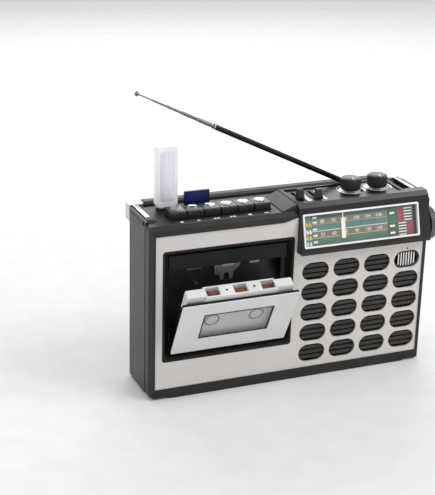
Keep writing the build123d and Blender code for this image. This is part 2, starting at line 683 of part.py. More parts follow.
# ---------------------------------------------------------------- rear cabinet
bay_wall_x = grow(battery_x, 1.6)
bay_wall_z = (base_z + wall, 65.0)
with BuildPart() as rear_cabinet:
    block((-half_width, half_width), (seam_y + 1.5, rear_y), (base_z, shell_top_z))
    block(grow((-half_width, half_width), -1.2), (seam_y, seam_y + 2), (base_z + 1.2, shell_top_z))
    block(
        grow((-half_width, half_width), -wall),
        (0, rear_y - rear_wall),
        (base_z + wall, shell_top_z + 1),
        Mode.SUBTRACT,
    )
    block(bay_wall_x, (battery_depth_y - 1.6, rear_y - rear_wall), (base_z + wall, bay_wall_z[1]))
    block(grow(battery_x, -1.5), (battery_depth_y, rear_y + 1), grow(battery_z, -1.5), Mode.SUBTRACT)
    block(grow(battery_x, 0.3), (54.0, rear_y + 1), (8.6, battery_z[1] + 0.4), Mode.SUBTRACT)
    rod_along_x(grow(battery_x, 1.4), battery_axis_y, battery_axis_z, 0.6, Mode.SUBTRACT)
    with BuildSketch(front(rear_y + 1)):
        with Locations((inlet_x, inlet_z)):
            SlotOverall(25.2, 13.2)
    extrude(amount=8, mode=Mode.SUBTRACT)
    for x, z in screw_places:
        rod_along_y((40, rear_y + 1), x, z, 1.6, Mode.SUBTRACT)
        rod_along_y((rear_y - 2.2, rear_y + 1), x, z, 3.5, Mode.SUBTRACT)
    for s in (-1, 1):
        notch = sorted((s * channel_x[0], s * channel_x[1]))
        block(notch, (rear_y - rear_wall - 1, rear_y + 1), (channel_floor_z, shell_top_z + 1), Mode.SUBTRACT)
save("rear_cabinet", rear_cabinet)

with BuildPart() as battery_door:
    block(battery_x, (battery_axis_y - 0.95, battery_axis_y + 0.95), (battery_axis_z, battery_z[1]))
    rod_along_x(battery_x, battery_axis_y, battery_axis_z, 0.95)
    rod_along_x(grow(battery_x, 1.2), battery_axis_y, battery_axis_z, 0.55)
save("battery_door", battery_door)

with BuildPart() as ac_inlet:
    with BuildSketch(front(43.0)):
        with Locations((inlet_x, inlet_z)):
            SlotOverall(24.8, 12.8)
    extrude(amount=-(rear_y - 43.0))
    with BuildSketch(front(45.0)):
        with Locations((inlet_x, inlet_z)):
            SlotOverall(21.0, 9.4)
    extrude(amount=-20, mode=Mode.SUBTRACT)
    for x in (inlet_x - 4.3, inlet_x + 4.3):
        rod_along_y((44.0, 53.0), x, inlet_z, 1.2)
save("ac_inlet", ac_inlet)

with BuildPart() as power_transformer:
    block((86.0, 122.0), (30.0, 50.0), (8.0, 37.0))
    block((92.0, 116.0), (26.0, 30.0), (13.0, 32.0))
    block((92.0, 116.0), (50.0, 52.0), (13.0, 32.0))
save("power_transformer", power_transformer)

# larger components of the board: place across, place up and size
board_components = ((6, 80, 10), (6, 100, 8), (24, 92, 14), (24, 128, 12), (46, 130, 9), (100, 84, 12),
                    (112, 112, 8))
with BuildPart() as main_board:
    block((-8.0, 121.0), (46.0, 47.6), (68.0, 150.0))
    for x, z, size in board_components:
        block((x - size / 2, x + size / 2), (38.0, 46.0), (z - size / 2, z + size / 2))
    block((86.0, 108.0), (28.0, 46.0), (128.0, 148.0))
save("main_board", main_board)

with BuildPart() as media_reader:
    block(grow(usb_socket_x, 1.0), grow(usb_socket_y, 0.7), (145.0, shell_top_z))
    block(grow(usb_socket_x, -0.5), grow(usb_socket_y, -0.5), (147.0, shell_top_z + 1), Mode.SUBTRACT)
    block(grow(card_x, 2.0), grow(card_y, 1.6), (145.0, shell_top_z))
    block(grow(card_x, 0.3), grow(card_y, 0.3), (146.6, shell_top_z + 1), Mode.SUBTRACT)
save("media_reader", media_reader)

with BuildPart() as usb_stick:
    with BuildSketch(front(usb_y[0])):
        rectangle(usb_x, usb_z, 5.0)
    extrude(amount=-(usb_y[1] - usb_y[0]))
    fillet(usb_stick.edges(), 1.6)
    block(grow(usb_socket_x, -0.9), grow(usb_socket_y, -0.85), (150.0, usb_z[0] + 1))
save("usb_stick", usb_stick)

with BuildPart() as sd_card:
    with BuildSketch(front(card_y[0])):
        outline(
            (card_x[0], card_z[0]),
            (card_x[1] - 4.0, card_z[0]),
            (card_x[1], card_z[0] + 4.0),
            (card_x[1], card_z[1]),
            (card_x[0], card_z[1]),
        )
    extrude(amount=-(card_y[1] - card_y[0]))
save("sd_card", sd_card)

with BuildPart() as case_screws:
    for x, z in screw_places:
        rod_along_y((42.0, rear_y - 2.1), x, z, 1.5)
        rod_along_y((rear_y - 2.1, rear_y - 0.3), x, z, 3.1)
save("case_screws", case_screws)

with BuildPart() as foot_strips:
    for y in ((-0.8, 8.2), (44.0, 53.0)):
        with BuildSketch(Plane.XY):
            rectangle((-120.0, 120.0), y, 3.0)
        extrude(amount=base_z)
save("foot_strips", foot_strips)

# ---------------------------------------------------------------- handle
# The arms lie in channels of the deck and turn on stub pins near their front ends.
with BuildPart() as handle_arms:
    for s in (-1, 1):
        arm = sorted((s * arm_x[0], s * arm_x[1]))
        with BuildSketch(side(arm[0])):
            rectangle((handle_pivot_y, corner_y), arm_z)
            with Locations((handle_pivot_y, handle_pivot_z)):
                Circle(3.2)
        extrude(amount=arm[1] - arm[0])
        pin = sorted((s * (channel_x[0] - 2.3), s * (channel_x[1] + 1.8)))
        rod_along_x((pin[0], pin[1]), handle_pivot_y, handle_pivot_z, 2.0)
save("handle_arms", handle_arms)

corner_x = (122.0, half_width - 0.5)
corner_z = (150.5, 165.8)
with BuildPart() as handle_corners:
    for s in (-1, 1):
        with BuildSketch(Plane.XY.offset(corner_z[0])):
            outline(
                (s * corner_x[1], corner_y),
                (s * corner_x[1], handle_rear_y - 3.0),
                (s * (corner_x[1] - 3.0), handle_rear_y),
                (s * corner_x[0], handle_rear_y),
                (s * corner_x[0], 62.0),
                (s * (corner_x[0] + 3.0), corner_y),
            )
        extrude(amount=corner_z[1] - corner_z[0])
    fillet(handle_corners.edges(), 0.8)
save("handle_corners", handle_corners)

grip_y = (60.5, 71.5)
grip_z = (153.5, 166.6)
with BuildPart() as handle_grip:
    with BuildSketch(side(-corner_x[0])):
        rectangle(grip_y, grip_z, 3.0)
    extrude(amount=2 * corner_x[0])
save("handle_grip", handle_grip)

# ---------------------------------------------------------------- antenna
with BuildPart() as antenna_base:
    rod_along_z((deck_z + 0.1, 165.2), antenna_x, antenna_y, 4.2)
    rod_along_z((shell_top_z + 0.2, deck_z + 0.1), antenna_x, antenna_y, 2.5)
    for y in ((antenna_y - 3.3, antenna_y - 2.1), (antenna_y + 2.1, antenna_y + 3.3)):
        block((antenna_x - 2.4, antenna_x + 2.4), y, (165.0, antenna_z + 2.4))
    rod_along_y((antenna_y - 3.3, antenna_y + 3.3), antenna_x, antenna_z, 0.95)
save("antenna_base", antenna_base)

with BuildPart() as antenna_tube:
    with BuildSketch(along_antenna(4.0)):
        Circle(2.5)
    extrude(amount=tube_end - 4.0)
    with BuildSketch(along_antenna(9.0)):
        Circle(stage_radii[0] + slide_gap)
    extrude(amount=tube_end, mode=Mode.SUBTRACT)
    with BuildSketch(front(antenna_y - 1.9)):
        with Locations((antenna_x, antenna_z)):
            Circle(2.4)
    extrude(amount=-3.8)
    slab(Plane(origin=(antenna_x, antenna_y, antenna_z), x_dir=(0, 1, 0), z_dir=antenna_way),
         (-1.9, 1.9), (-2.0, 2.0), (0.5, 5.0))
    rod_along_y((antenna_y - 3, antenna_y + 3), antenna_x, antenna_z, 1.0, Mode.SUBTRACT)
save("antenna_tube", antenna_tube)

stage_end = tube_end
for i, (radius, length, shown) in enumerate(zip(stage_radii, stage_lengths, stage_shown)):
    stage_end += shown
    last = i == len(stage_radii) - 1
    with BuildPart() as stage:
        with BuildSketch(along_antenna(stage_end - length)):
            Circle(radius)
            if not last:
                Circle(radius - stage_wall, mode=Mode.SUBTRACT)
        extrude(amount=length)
        if last:
            with BuildSketch(along_antenna(stage_end)):
                Circle(2.2)
            extrude(amount=2.4)
    save(f"antenna_stage_{i + 1}", stage)

print(len(written), "pieces written")
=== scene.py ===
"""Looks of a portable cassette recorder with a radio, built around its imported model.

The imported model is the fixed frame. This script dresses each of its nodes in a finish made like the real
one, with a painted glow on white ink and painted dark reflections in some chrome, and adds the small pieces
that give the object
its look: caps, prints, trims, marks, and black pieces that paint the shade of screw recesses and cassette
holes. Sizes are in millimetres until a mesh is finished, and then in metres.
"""

import logging
import math
from collections.abc import Sequence
from dataclasses import dataclass
from enum import Enum
from typing import Any, Protocol

import bmesh
import bpy
from mathutils import Matrix, Vector


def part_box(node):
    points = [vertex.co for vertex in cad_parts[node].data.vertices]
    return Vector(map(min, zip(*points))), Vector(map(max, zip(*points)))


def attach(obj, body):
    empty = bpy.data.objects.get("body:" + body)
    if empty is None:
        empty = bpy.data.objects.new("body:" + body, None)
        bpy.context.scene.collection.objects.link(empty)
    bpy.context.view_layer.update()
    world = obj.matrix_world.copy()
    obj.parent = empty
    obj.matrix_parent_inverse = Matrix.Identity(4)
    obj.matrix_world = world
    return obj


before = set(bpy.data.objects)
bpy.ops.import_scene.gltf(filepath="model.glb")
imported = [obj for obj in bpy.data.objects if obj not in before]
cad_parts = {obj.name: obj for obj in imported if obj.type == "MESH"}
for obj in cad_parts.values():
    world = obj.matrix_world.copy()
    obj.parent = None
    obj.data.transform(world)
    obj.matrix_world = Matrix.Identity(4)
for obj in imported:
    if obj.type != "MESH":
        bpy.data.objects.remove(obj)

LOG = logging.getLogger("recorder")
MM = 0.001
TINY = 1e-6
PRINT_RELIEF = 0.02
ABS_IOR = 1.53
LACQUER_IOR = 1.5
ACRYLIC_IOR = 1.49
INK_IOR = 1.5

Span = tuple[float, float]
Point2 = tuple[float, float]
Point3 = tuple[float, float, float]
WHOLE: Span = (0.0, 1.0)


# ------------------------------------------------------------------ colour and nodes
def linear(code: str) -> tuple[float, float, float, float]:
    """Turn an sRGB hex colour into the linear colour that shaders take.

    Args:
        code: six hex digits after a hash sign.

    Returns:
        Red, green, blue and an alpha of one.
    """
    parts = [int(code[i:i + 2], 16) / 255 for i in (1, 3, 5)]
    red, green, blue = (c / 12.92 if c <= 0.04045 else ((c + 0.055) / 1.055) ** 2.4 for c in parts)
    return (red, green, blue, 1.0)


def add(tree: bpy.types.NodeTree, kind: str, values: dict[str | int, Any],
        **settings: Any) -> bpy.types.Node:
    """Add one node to a tree.

    Args:
        tree: the node tree that takes the node.
        kind: the node's type name.
        values: for each input, a value to set or an output socket to link.
        settings: the node's own options.

    Returns:
        The new node.
    """
    made = tree.nodes.new(kind)
    for key, value in settings.items():
        setattr(made, key, value)
    for key, value in values.items():
        if isinstance(value, bpy.types.NodeSocket):
            tree.links.new(value, made.inputs[key])
        else:
            made.inputs[key].default_value = value
    return made


@dataclass
class Shader:
    """A material under construction: its tree, its surface shader and its coordinates in metres."""

    material: bpy.types.Material
    tree: bpy.types.NodeTree
    surface: bpy.types.Node
    place: bpy.types.NodeSocket

    @classmethod
    def start(cls, name: str, **sockets: Any) -> "Shader":
        """Make an empty material with one surface shader.

        Args:
            name: the material's name.
            sockets: values of the surface shader's sockets, with underscores for spaces.

        Returns:
            The shader, ready for patterns.
        """
        material = bpy.data.materials.new(name)
        material.use_nodes = True
        tree = material.node_tree
        tree.nodes.clear()
        values = {key.replace("_", " "): value for key, value in sockets.items()}
        surface = add(tree, "ShaderNodeBsdfPrincipled", values)
        add(tree, "ShaderNodeOutputMaterial", {"Surface": surface.outputs[0]})
        coordinates = add(tree, "ShaderNodeTexCoord", {})
        return cls(material, tree, surface, coordinates.outputs["Object"])

    def stretched(self, scale: Point3) -> bpy.types.NodeSocket:
        """Return the coordinates scaled differently along each axis."""
        return add(self.tree, "ShaderNodeMapping", {"Vector": self.place, "Scale": scale}).outputs[0]

    def noise(self, size_mm: float, detail: float = 2.0,
              place: bpy.types.NodeSocket | None = None) -> bpy.types.NodeSocket:
        """Return a noise pattern.

        Args:
            size_mm: the size of one grain in millimetres.
            detail: how many finer octaves it holds.
            place: coordinates to use in place of the plain ones.

        Returns:
            The pattern's value, from 0 to 1.
        """
        values = {"Vector": place or self.place, "Scale": 1 / (size_mm * MM), "Detail": detail}
        return add(self.tree, "ShaderNodeTexNoise", values).outputs[0]

    def ramp(self, value: bpy.types.NodeSocket, low: Span, high: Span) -> bpy.types.NodeSocket:
        """Map a value that runs over the first span to the second."""
        values = {0: value, 1: low[0], 2: low[1], 3: high[0], 4: high[1]}
        return add(self.tree, "ShaderNodeMapRange", values).outputs[0]

    def mix(self, share: bpy.types.NodeSocket, first: Any, second: Any) -> bpy.types.NodeSocket:
        """Mix two colours by a share and return the mixed colour."""
        values = {0: share, 6: first, 7: second}
        return add(self.tree, "ShaderNodeMix", values, data_type="RGBA").outputs[2]

    def colour(self, value: bpy.types.NodeSocket) -> None:
        """Give the surface a patterned colour."""
        self.tree.links.new(value, self.surface.inputs["Base Color"])

    def roughness(self, value: bpy.types.NodeSocket) -> None:
        """Give the surface a patterned roughness."""
        self.tree.links.new(value, self.surface.inputs["Roughness"])

    def bump(self, height: bpy.types.NodeSocket, depth_mm: float) -> None:
        """Give the surface relief of a depth in millimetres."""
        values = {"Height": height, "Distance": depth_mm * MM, "Strength": 1.0}
        made = add(self.tree, "ShaderNodeBump", values)
        self.tree.links.new(made.outputs[0], self.surface.inputs["Normal"])


def wave_scale(width_mm: float) -> float:
    """Return the wave texture's scale at which one band or ring is this wide."""
    # at a scale of 1 one band is 2 pi / 20 of a unit
    return math.tau / 20 / (width_mm * MM)


# ------------------------------------------------------------------ finishes
class Finish(Protocol):
    """Anything that can make a material."""

    name: str

    def build(self) -> bpy.types.Material:
        """Make the material."""


@dataclass(frozen=True)
class MouldedPlastic:
    """ABS or polystyrene pressed against a spark-eroded mould: an even grain that breaks up the gloss."""

    name: str
    colour: str
    shade: str
    roughness: float = 0.45
    grain_mm: float = 0.9
    depth_mm: float = 0.03
    stretch: Point3 = (1.0, 1.0, 1.0)
    coat: float = 0.0
    reflection: float = 0.5
    coat_roughness: float = 0.12
    cloud_mm: float = 24.0

    def build(self) -> bpy.types.Material:
        """Make the material: grain for relief and gloss, broad clouds for colour."""
        made = Shader.start(self.name, IOR=ABS_IOR, Specular_IOR_Level=self.reflection,
                            Coat_Weight=self.coat, Coat_Roughness=self.coat_roughness)
        place = made.stretched(self.stretch)
        grain = made.noise(self.grain_mm, 3.0, place)
        clouds = made.noise(self.cloud_mm, 3.0, place)
        # the eye meets two close greys, from flow marks of the melt
        share = made.ramp(clouds, (0.35, 0.65), WHOLE)
        made.colour(made.mix(share, linear(self.colour), linear(self.shade)))
        made.roughness(made.ramp(grain, (0.3, 0.7), (self.roughness - 0.06, self.roughness + 0.08)))
        made.bump(grain, self.depth_mm)
        return made.material


@dataclass(frozen=True)
class SpeckledLacquer:
    """Aluminium sheet with a stoved metallic lacquer: a warm grey with fine light and dark flecks."""

    name: str
    colour: str
    fleck: str
    dark_fleck: str
    fleck_mm: float = 1.1
    gloss_mm: float = 9.0
    peel_mm: float = 2.4
    peel_depth_mm: float = 0.012

    def build(self) -> bpy.types.Material:
        """Make the material: flecks in colour, a faint orange peel in relief."""
        made = Shader.start(self.name, Metallic=0.15, IOR=LACQUER_IOR, Coat_Weight=0.15, Coat_Roughness=0.3)
        # real flecks are under 0.2 mm; they are drawn at 1.1 mm so that they show
        flecks = made.noise(self.fleck_mm, 2.0)
        bright = made.ramp(flecks, (0.56, 0.7), (0.0, 0.8))
        light = made.mix(bright, linear(self.colour), linear(self.fleck))
        dark = made.ramp(flecks, (0.42, 0.3), (0.0, 0.7))
        made.colour(made.mix(dark, light, linear(self.dark_fleck)))
        made.roughness(made.ramp(made.noise(self.gloss_mm), (0.3, 0.7), (0.38, 0.46)))
        made.bump(made.noise(self.peel_mm, 3.0), self.peel_depth_mm)
        return made.material


@dataclass(frozen=True)
class WorkedMetal:
    """Metal with the lines of its working: brushed, drawn or turned, by how the grain is stretched."""

    name: str
    colour: str
    roughness: float
    stretch: Point3 = (0.04, 1.0, 1.0)
    line_mm: float = 0.6
    depth_mm: float = 0.01
    metallic: float = 1.0
    patch_mm: float = 18.0
    patch_shade: float = 0.86

    def build(self) -> bpy.types.Material:
        """Make the material: long fine lines in relief and roughness, and a few dull patches."""
        made = Shader.start(self.name, Metallic=self.metallic)
        lines = made.noise(self.line_mm, 3.0, made.stretched(self.stretch))
        patches = made.noise(self.patch_mm, 2.0)
        base = Vector(linear(self.colour)[:3])
        share = made.ramp(patches, (0.35, 0.7), WHOLE)
        made.colour(made.mix(share, (*base, 1.0), (*base * self.patch_shade, 1.0)))
        made.roughness(made.ramp(lines, (0.25, 0.75), (self.roughness * 0.7, self.roughness * 1.3)))
        made.bump(lines, self.depth_mm)
        return made.material


@dataclass(frozen=True)
class ClearSheet:
    """Cast acrylic or clear polystyrene: see-through, with a bright sheen and faint rubbing marks."""

    name: str
    colour: str
    alpha: float
    wipe_mm: float = 3.0

    def build(self) -> bpy.types.Material:
        """Make the material: nearly all light passes, and wipe marks show in the sheen."""
        made = Shader.start(self.name, Base_Color=linear(self.colour), Alpha=self.alpha, IOR=ACRYLIC_IOR,
                            Specular_IOR_Level=0.25)
        wipes = made.noise(self.wipe_mm, 4.0, made.stretched((0.2, 1.0, 1.0)))
        made.roughness(made.ramp(wipes, (0.3, 0.8), (0.04, 0.16)))
        return made.material


@dataclass(frozen=True)
class PrintedInk:
    """Screen-printed ink: an even colour with the slight unevenness of the squeegee."""

    name: str
    colour: str
    shade: str
    roughness: float = 0.5
    painted_glow: float = 0.0
    streak_mm: float = 4.0
    film_mm: float = 0.8
    film_depth_mm: float = 0.004

    def build(self) -> bpy.types.Material:
        """Make the material: streaks of thin ink along the print, and a painted glow where one is given."""
        ink = linear(self.colour)
        # emission lets the ink glow though it is no lamp: painted light that brightens the print
        made = Shader.start(self.name, IOR=INK_IOR, Roughness=self.roughness,
                            Emission_Color=ink, Emission_Strength=self.painted_glow)
        streaks = made.noise(self.streak_mm, 3.0, made.stretched((0.15, 1.0, 1.0)))
        made.colour(made.mix(made.ramp(streaks, (0.4, 0.75), WHOLE), ink, linear(self.shade)))
        made.bump(made.noise(self.film_mm), self.film_depth_mm)
        return made.material


@dataclass(frozen=True)
class RingedSurface:
    """Rings round an axis: wound tape, a pressed paper cone or a turned wheel."""

    name: str
    colour: str
    ring: str
    centre: Point3
    ring_mm: float
    roughness: float = 0.5
    metallic: float = 0.0
    relief_mm: float = 0.02

    def build(self) -> bpy.types.Material:
        """Make the material: rings of two colours and a matching relief."""
        made = Shader.start(self.name, Roughness=self.roughness, Metallic=self.metallic)
        move = tuple(-c * MM for c in self.centre)
        place = add(made.tree, "ShaderNodeMapping", {"Vector": made.place, "Location": move}).outputs[0]
        values = {"Vector": place, "Scale": wave_scale(self.ring_mm), "Distortion": 0.6, "Detail": 2.0}
        rings = add(made.tree, "ShaderNodeTexWave", values, wave_type="RINGS",
                    rings_direction="SPHERICAL").outputs["Fac"]
        made.colour(made.mix(rings, linear(self.colour), linear(self.ring)))
        made.bump(rings, self.relief_mm)
        return made.material


@dataclass(frozen=True)
class BandedSurface:
    """Flat bands across an axis: stacked laminations or the tracks of a circuit board."""

    name: str
    colour: str
    band: str
    band_mm: float
    direction: str
    roughness: float = 0.45
    metallic: float = 0.0
    relief_mm: float = 0.03

    def build(self) -> bpy.types.Material:
        """Make the material: bands of two colours with a raised edge."""
        made = Shader.start(self.name, Roughness=self.roughness, Metallic=self.metallic)
        values = {"Vector": made.place, "Scale": wave_scale(self.band_mm), "Distortion": 1.2, "Detail": 1.0}
        bands = add(made.tree, "ShaderNodeTexWave", values, bands_direction=self.direction).outputs["Fac"]
        share = made.ramp(bands, (0.4, 0.6), WHOLE)
        made.colour(made.mix(share, linear(self.colour), linear(self.band)))
        made.bump(bands, self.relief_mm)
        return made.material


BLACK_ABS = MouldedPlastic("abs_black_textured", "#232220", "#2a2926", 0.42, reflection=0.28)
BAY_ABS = MouldedPlastic("abs_black_bay", "#121110", "#181715", 0.34, 0.9, 0.02, reflection=0.22)
HOUSING_ABS = MouldedPlastic("abs_black_satin", "#1f1e1c", "#262522", 0.33, 1.1, 0.012, reflection=0.35)
LOUVRE_ABS = MouldedPlastic("abs_louvre", "#272624", "#302f2c", 0.36, 0.8, 0.015, reflection=0.4)
# the sides show fine upright drag lines from the mould's draw
SIDE_ABS = MouldedPlastic("abs_grey_side", "#383633", "#42403d", 0.40, 1.4, 0.04, (1.0, 1.0, 0.06),
                          reflection=0.3)
GRIP_PVC = MouldedPlastic("pvc_leather_grain", "#2a2927", "#34322f", 0.48, 1.8, 0.12)
KEY_ABS = MouldedPlastic("abs_key_satin", "#1d1c19", "#252420", 0.30, 1.2, 0.010, reflection=0.4)
KNOB_ABS = MouldedPlastic("abs_knob", "#232220", "#2c2b29", 0.38, 0.7, 0.015)
WHEEL_ABS = MouldedPlastic("abs_tuning_wheel", "#4a4947", "#5a5957", 0.34, 0.8, 0.015)
PEARL_ABS = MouldedPlastic("abs_pearl_white", "#dadcdd", "#dfe1e2", 0.34, 5.0, 0.002, coat=0.2)
WHITE_ABS = MouldedPlastic("abs_gloss_white", "#f3f3f2", "#fbfbfb", 0.22, 2.0, 0.003, coat=0.4)
IVORY_ABS = MouldedPlastic("abs_ivory_pointer", "#fff8e8", "#fffdf4", 0.35, 2.0, 0.003)
SHELL_PS = MouldedPlastic("polystyrene_cassette", "#dfe0e1", "#eceded", 0.28, 1.0, 0.008, coat=0.2)
USB_ABS = MouldedPlastic("abs_stick_gloss", "#f4f4f8", "#ffffff", 0.16, 3.0, 0.002, coat=0.6)
USB_INSET = MouldedPlastic("polycarbonate_inset", "#dcdce8", "#e9e9f2", 0.24, 1.2, 0.01, (1.0, 1.0, 0.08),
                           coat=0.5)
CARD_ABS = MouldedPlastic("abs_card_navy", "#0c1438", "#121c46", 0.36, 0.8, 0.01)
CARD_LABEL = PrintedInk("card_label_film", "#152458", "#1c2f68", 0.3)
ACETAL = MouldedPlastic("acetal_spindle", "#e2e0da", "#ece9e2", 0.4, 0.8, 0.01)
RUBBER = MouldedPlastic("rubber_moulded", "#1b1b1b", "#262626", 0.75, 0.6, 0.03)
INLET_PA = MouldedPlastic("nylon_inlet", "#1a1a1a", "#222222", 0.3, 0.8, 0.01)
PLATE_LACQUER = SpeckledLacquer("lacquered_plate", "#d6d0cc", "#e9e5e2", "#bdb7b2")
SILVER_PAINT = WorkedMetal("zinc_die_cast_painted", "#cfcfcd", 0.36, (1.0, 1.0, 1.0), 0.8, 0.008, 0.55)
STRIP_ALUMINIUM = WorkedMetal("aluminium_brushed_strip", "#e2e2e0", 0.28, (1.0, 0.04, 1.0))
BAR_ALUMINIUM = WorkedMetal("aluminium_bar", "#e8e8e6", 0.22, (1.0, 1.0, 0.05), 0.5)
SCALE_METAL = WorkedMetal("aluminium_dark_scale", "#3c3c3a", 0.34, (0.06, 1.0, 1.0), 0.5)
CAP_METAL = WorkedMetal("aluminium_spun_cap", "#4d4d4b", 0.30, (1.0, 1.0, 1.0), 0.5)
SKIRT_METAL = WorkedMetal("aluminium_spun_skirt", "#d4d4d2", 0.18, (1.0, 1.0, 0.2), 0.5)
CHROME = WorkedMetal("chrome_plate", "#dcdcde", 0.07, (0.05, 1.0, 1.0), 0.4, 0.001)
# the disc chrome's colour is darkened below real chrome to show darker reflections than the room gives:
# painted reflection
SHADED_DISC_CHROME = WorkedMetal("chrome_key_disc_painted_reflection", "#b4b4b6", 0.10, (1.0, 1.0, 1.0), 0.4, 0.001)
# the tube is chrome whose colour is darkened to show the dark reflections of a darker room: painted
# reflection
SHADED_TUBE_CHROME = WorkedMetal("chrome_tube_painted_dark_reflection", "#2c2c2e", 0.14, (0.05, 1.0, 1.0), 0.4, 0.001)
DRAWN_CHROME = WorkedMetal("chrome_drawn_stage", "#77777a", 0.16, (0.05, 1.0, 1.0), 0.4, 0.001)
ZINC_STEEL = WorkedMetal("zinc_plated_steel", "#a9abac", 0.34, (0.1, 1.0, 1.0), 0.8, 0.01)
COMB_STEEL = WorkedMetal("nickel_plated_comb", "#c8cacc", 0.30, (1.0, 1.0, 0.1), 0.8, 0.008)
DARK_STEEL = WorkedMetal("phosphated_steel", "#4a4a4c", 0.45, (0.2, 1.0, 1.0), 0.8, 0.01)
CLEAR_ACRYLIC = ClearSheet("acrylic_dial_lens", "#eef4f4", 0.04)
SMOKED_ACRYLIC = ClearSheet("acrylic_door_window", "#c4c8ca", 0.26)
PAPER_CONE = RingedSurface("paper_cone", "#242322", "#3a3836", (69.0, 0.0, 63.0), 4.0, 0.8)
TURNED_STEEL = RingedSurface("turned_flywheel", "#9a9a98", "#b6b6b4", (-92.0, 40.0, 105.5), 1.2, 0.3, 1.0)
LAMINATIONS = BandedSurface("iron_laminations", "#3a3a3c", "#5b5b5e", 1.0, "X", 0.5, 0.7)
SOLDER_MASK = BandedSurface("solder_mask_tracks", "#0d4a26", "#1c6b3a", 3.0, "Z", 0.35)
# the white ink glows faintly: painted light that brightens every white print
WHITE_INK = PrintedInk("ink_white", "#f6f6f2", "#e6e6e0", painted_glow=0.05)
BLACK_INK = PrintedInk("ink_black", "#141414", "#1e1e1e")
LABEL_PAPER = PrintedInk("label_paper", "#f1f1ee", "#e6e6e2", 0.6)
TAPE_FILM = PrintedInk("ferric_tape", "#6a3a22", "#7a4428", 0.3)
GREY_INK = PrintedInk("ink_grey", "#6f6f6d", "#7d7d7b")
DIAL_BASE = PrintedInk("dial_base_ink", "#4e6862", "#5d776f", 0.6)

finished: dict[str, bpy.types.Material] = {}


def material_of(finish: Finish) -> bpy.types.Material:
    """Return the material of a finish, made once."""
    if finish.name not in finished:
        finished[finish.name] = finish.build()
    return finished[finish.name]


# ------------------------------------------------------------------ shapes
def plane(origin: Point3, normal: Point3) -> Matrix:
    """Return the frame of a plane whose own x runs along X.

    Args:
        origin: the plane's origin in millimetres.
        normal: its outward direction, square to X.

    Returns:
        A matrix from the plane's own millimetres to the row frame's.
    """
    across = Vector((1.0, 0.0, 0.0))
    out = Vector(normal).normalized()
    columns = Matrix((across, out.cross(across), out)).transposed()
    return Matrix.Translation(origin) @ columns.to_4x4()


def facing_front(y: float) -> Matrix:
    """Return an upright plane that faces the front."""
    return plane((0.0, y, 0.0), (0.0, -1.0, 0.0))


def facing_back(y: float) -> Matrix:
    """Return an upright plane that faces the back."""
    return plane((0.0, y, 0.0), (0.0, 1.0, 0.0))


def facing_up(z: float) -> Matrix:
    """Return a level plane."""
    return plane((0.0, 0.0, z), (0.0, 0.0, 1.0))


def about(middle: float, half: float) -> Span:
    """Return the span that reaches a half width to both sides of a middle."""
    return (middle - half, middle + half)


def arc(centre: Point2, radius: float, span: Span, steps: int) -> list[Point2]:
    """Return points on an arc, from and to an angle in degrees."""
    turn = [math.radians(span[0] + (span[1] - span[0]) * i / steps) for i in range(steps + 1)]
    return [(centre[0] + radius * math.cos(a), centre[1] + radius * math.sin(a)) for a in turn]


def rounded(x: Span, y: Span, radius: float, steps: int = 5) -> list[Point2]:
    """Return the outline of a rectangle with rounded corners."""
    corners = ((x[1], y[1], 0), (x[0], y[1], 90), (x[0], y[0], 180), (x[1], y[0], 270))
    points: list[Point2] = []
    for cx, cy, start in corners:
        inward_x = -radius if cx == x[1] else radius
        inward_y = -radius if cy == y[1] else radius
        points += arc((cx + inward_x, cy + inward_y), radius, (start, start + 90), steps)
    return points


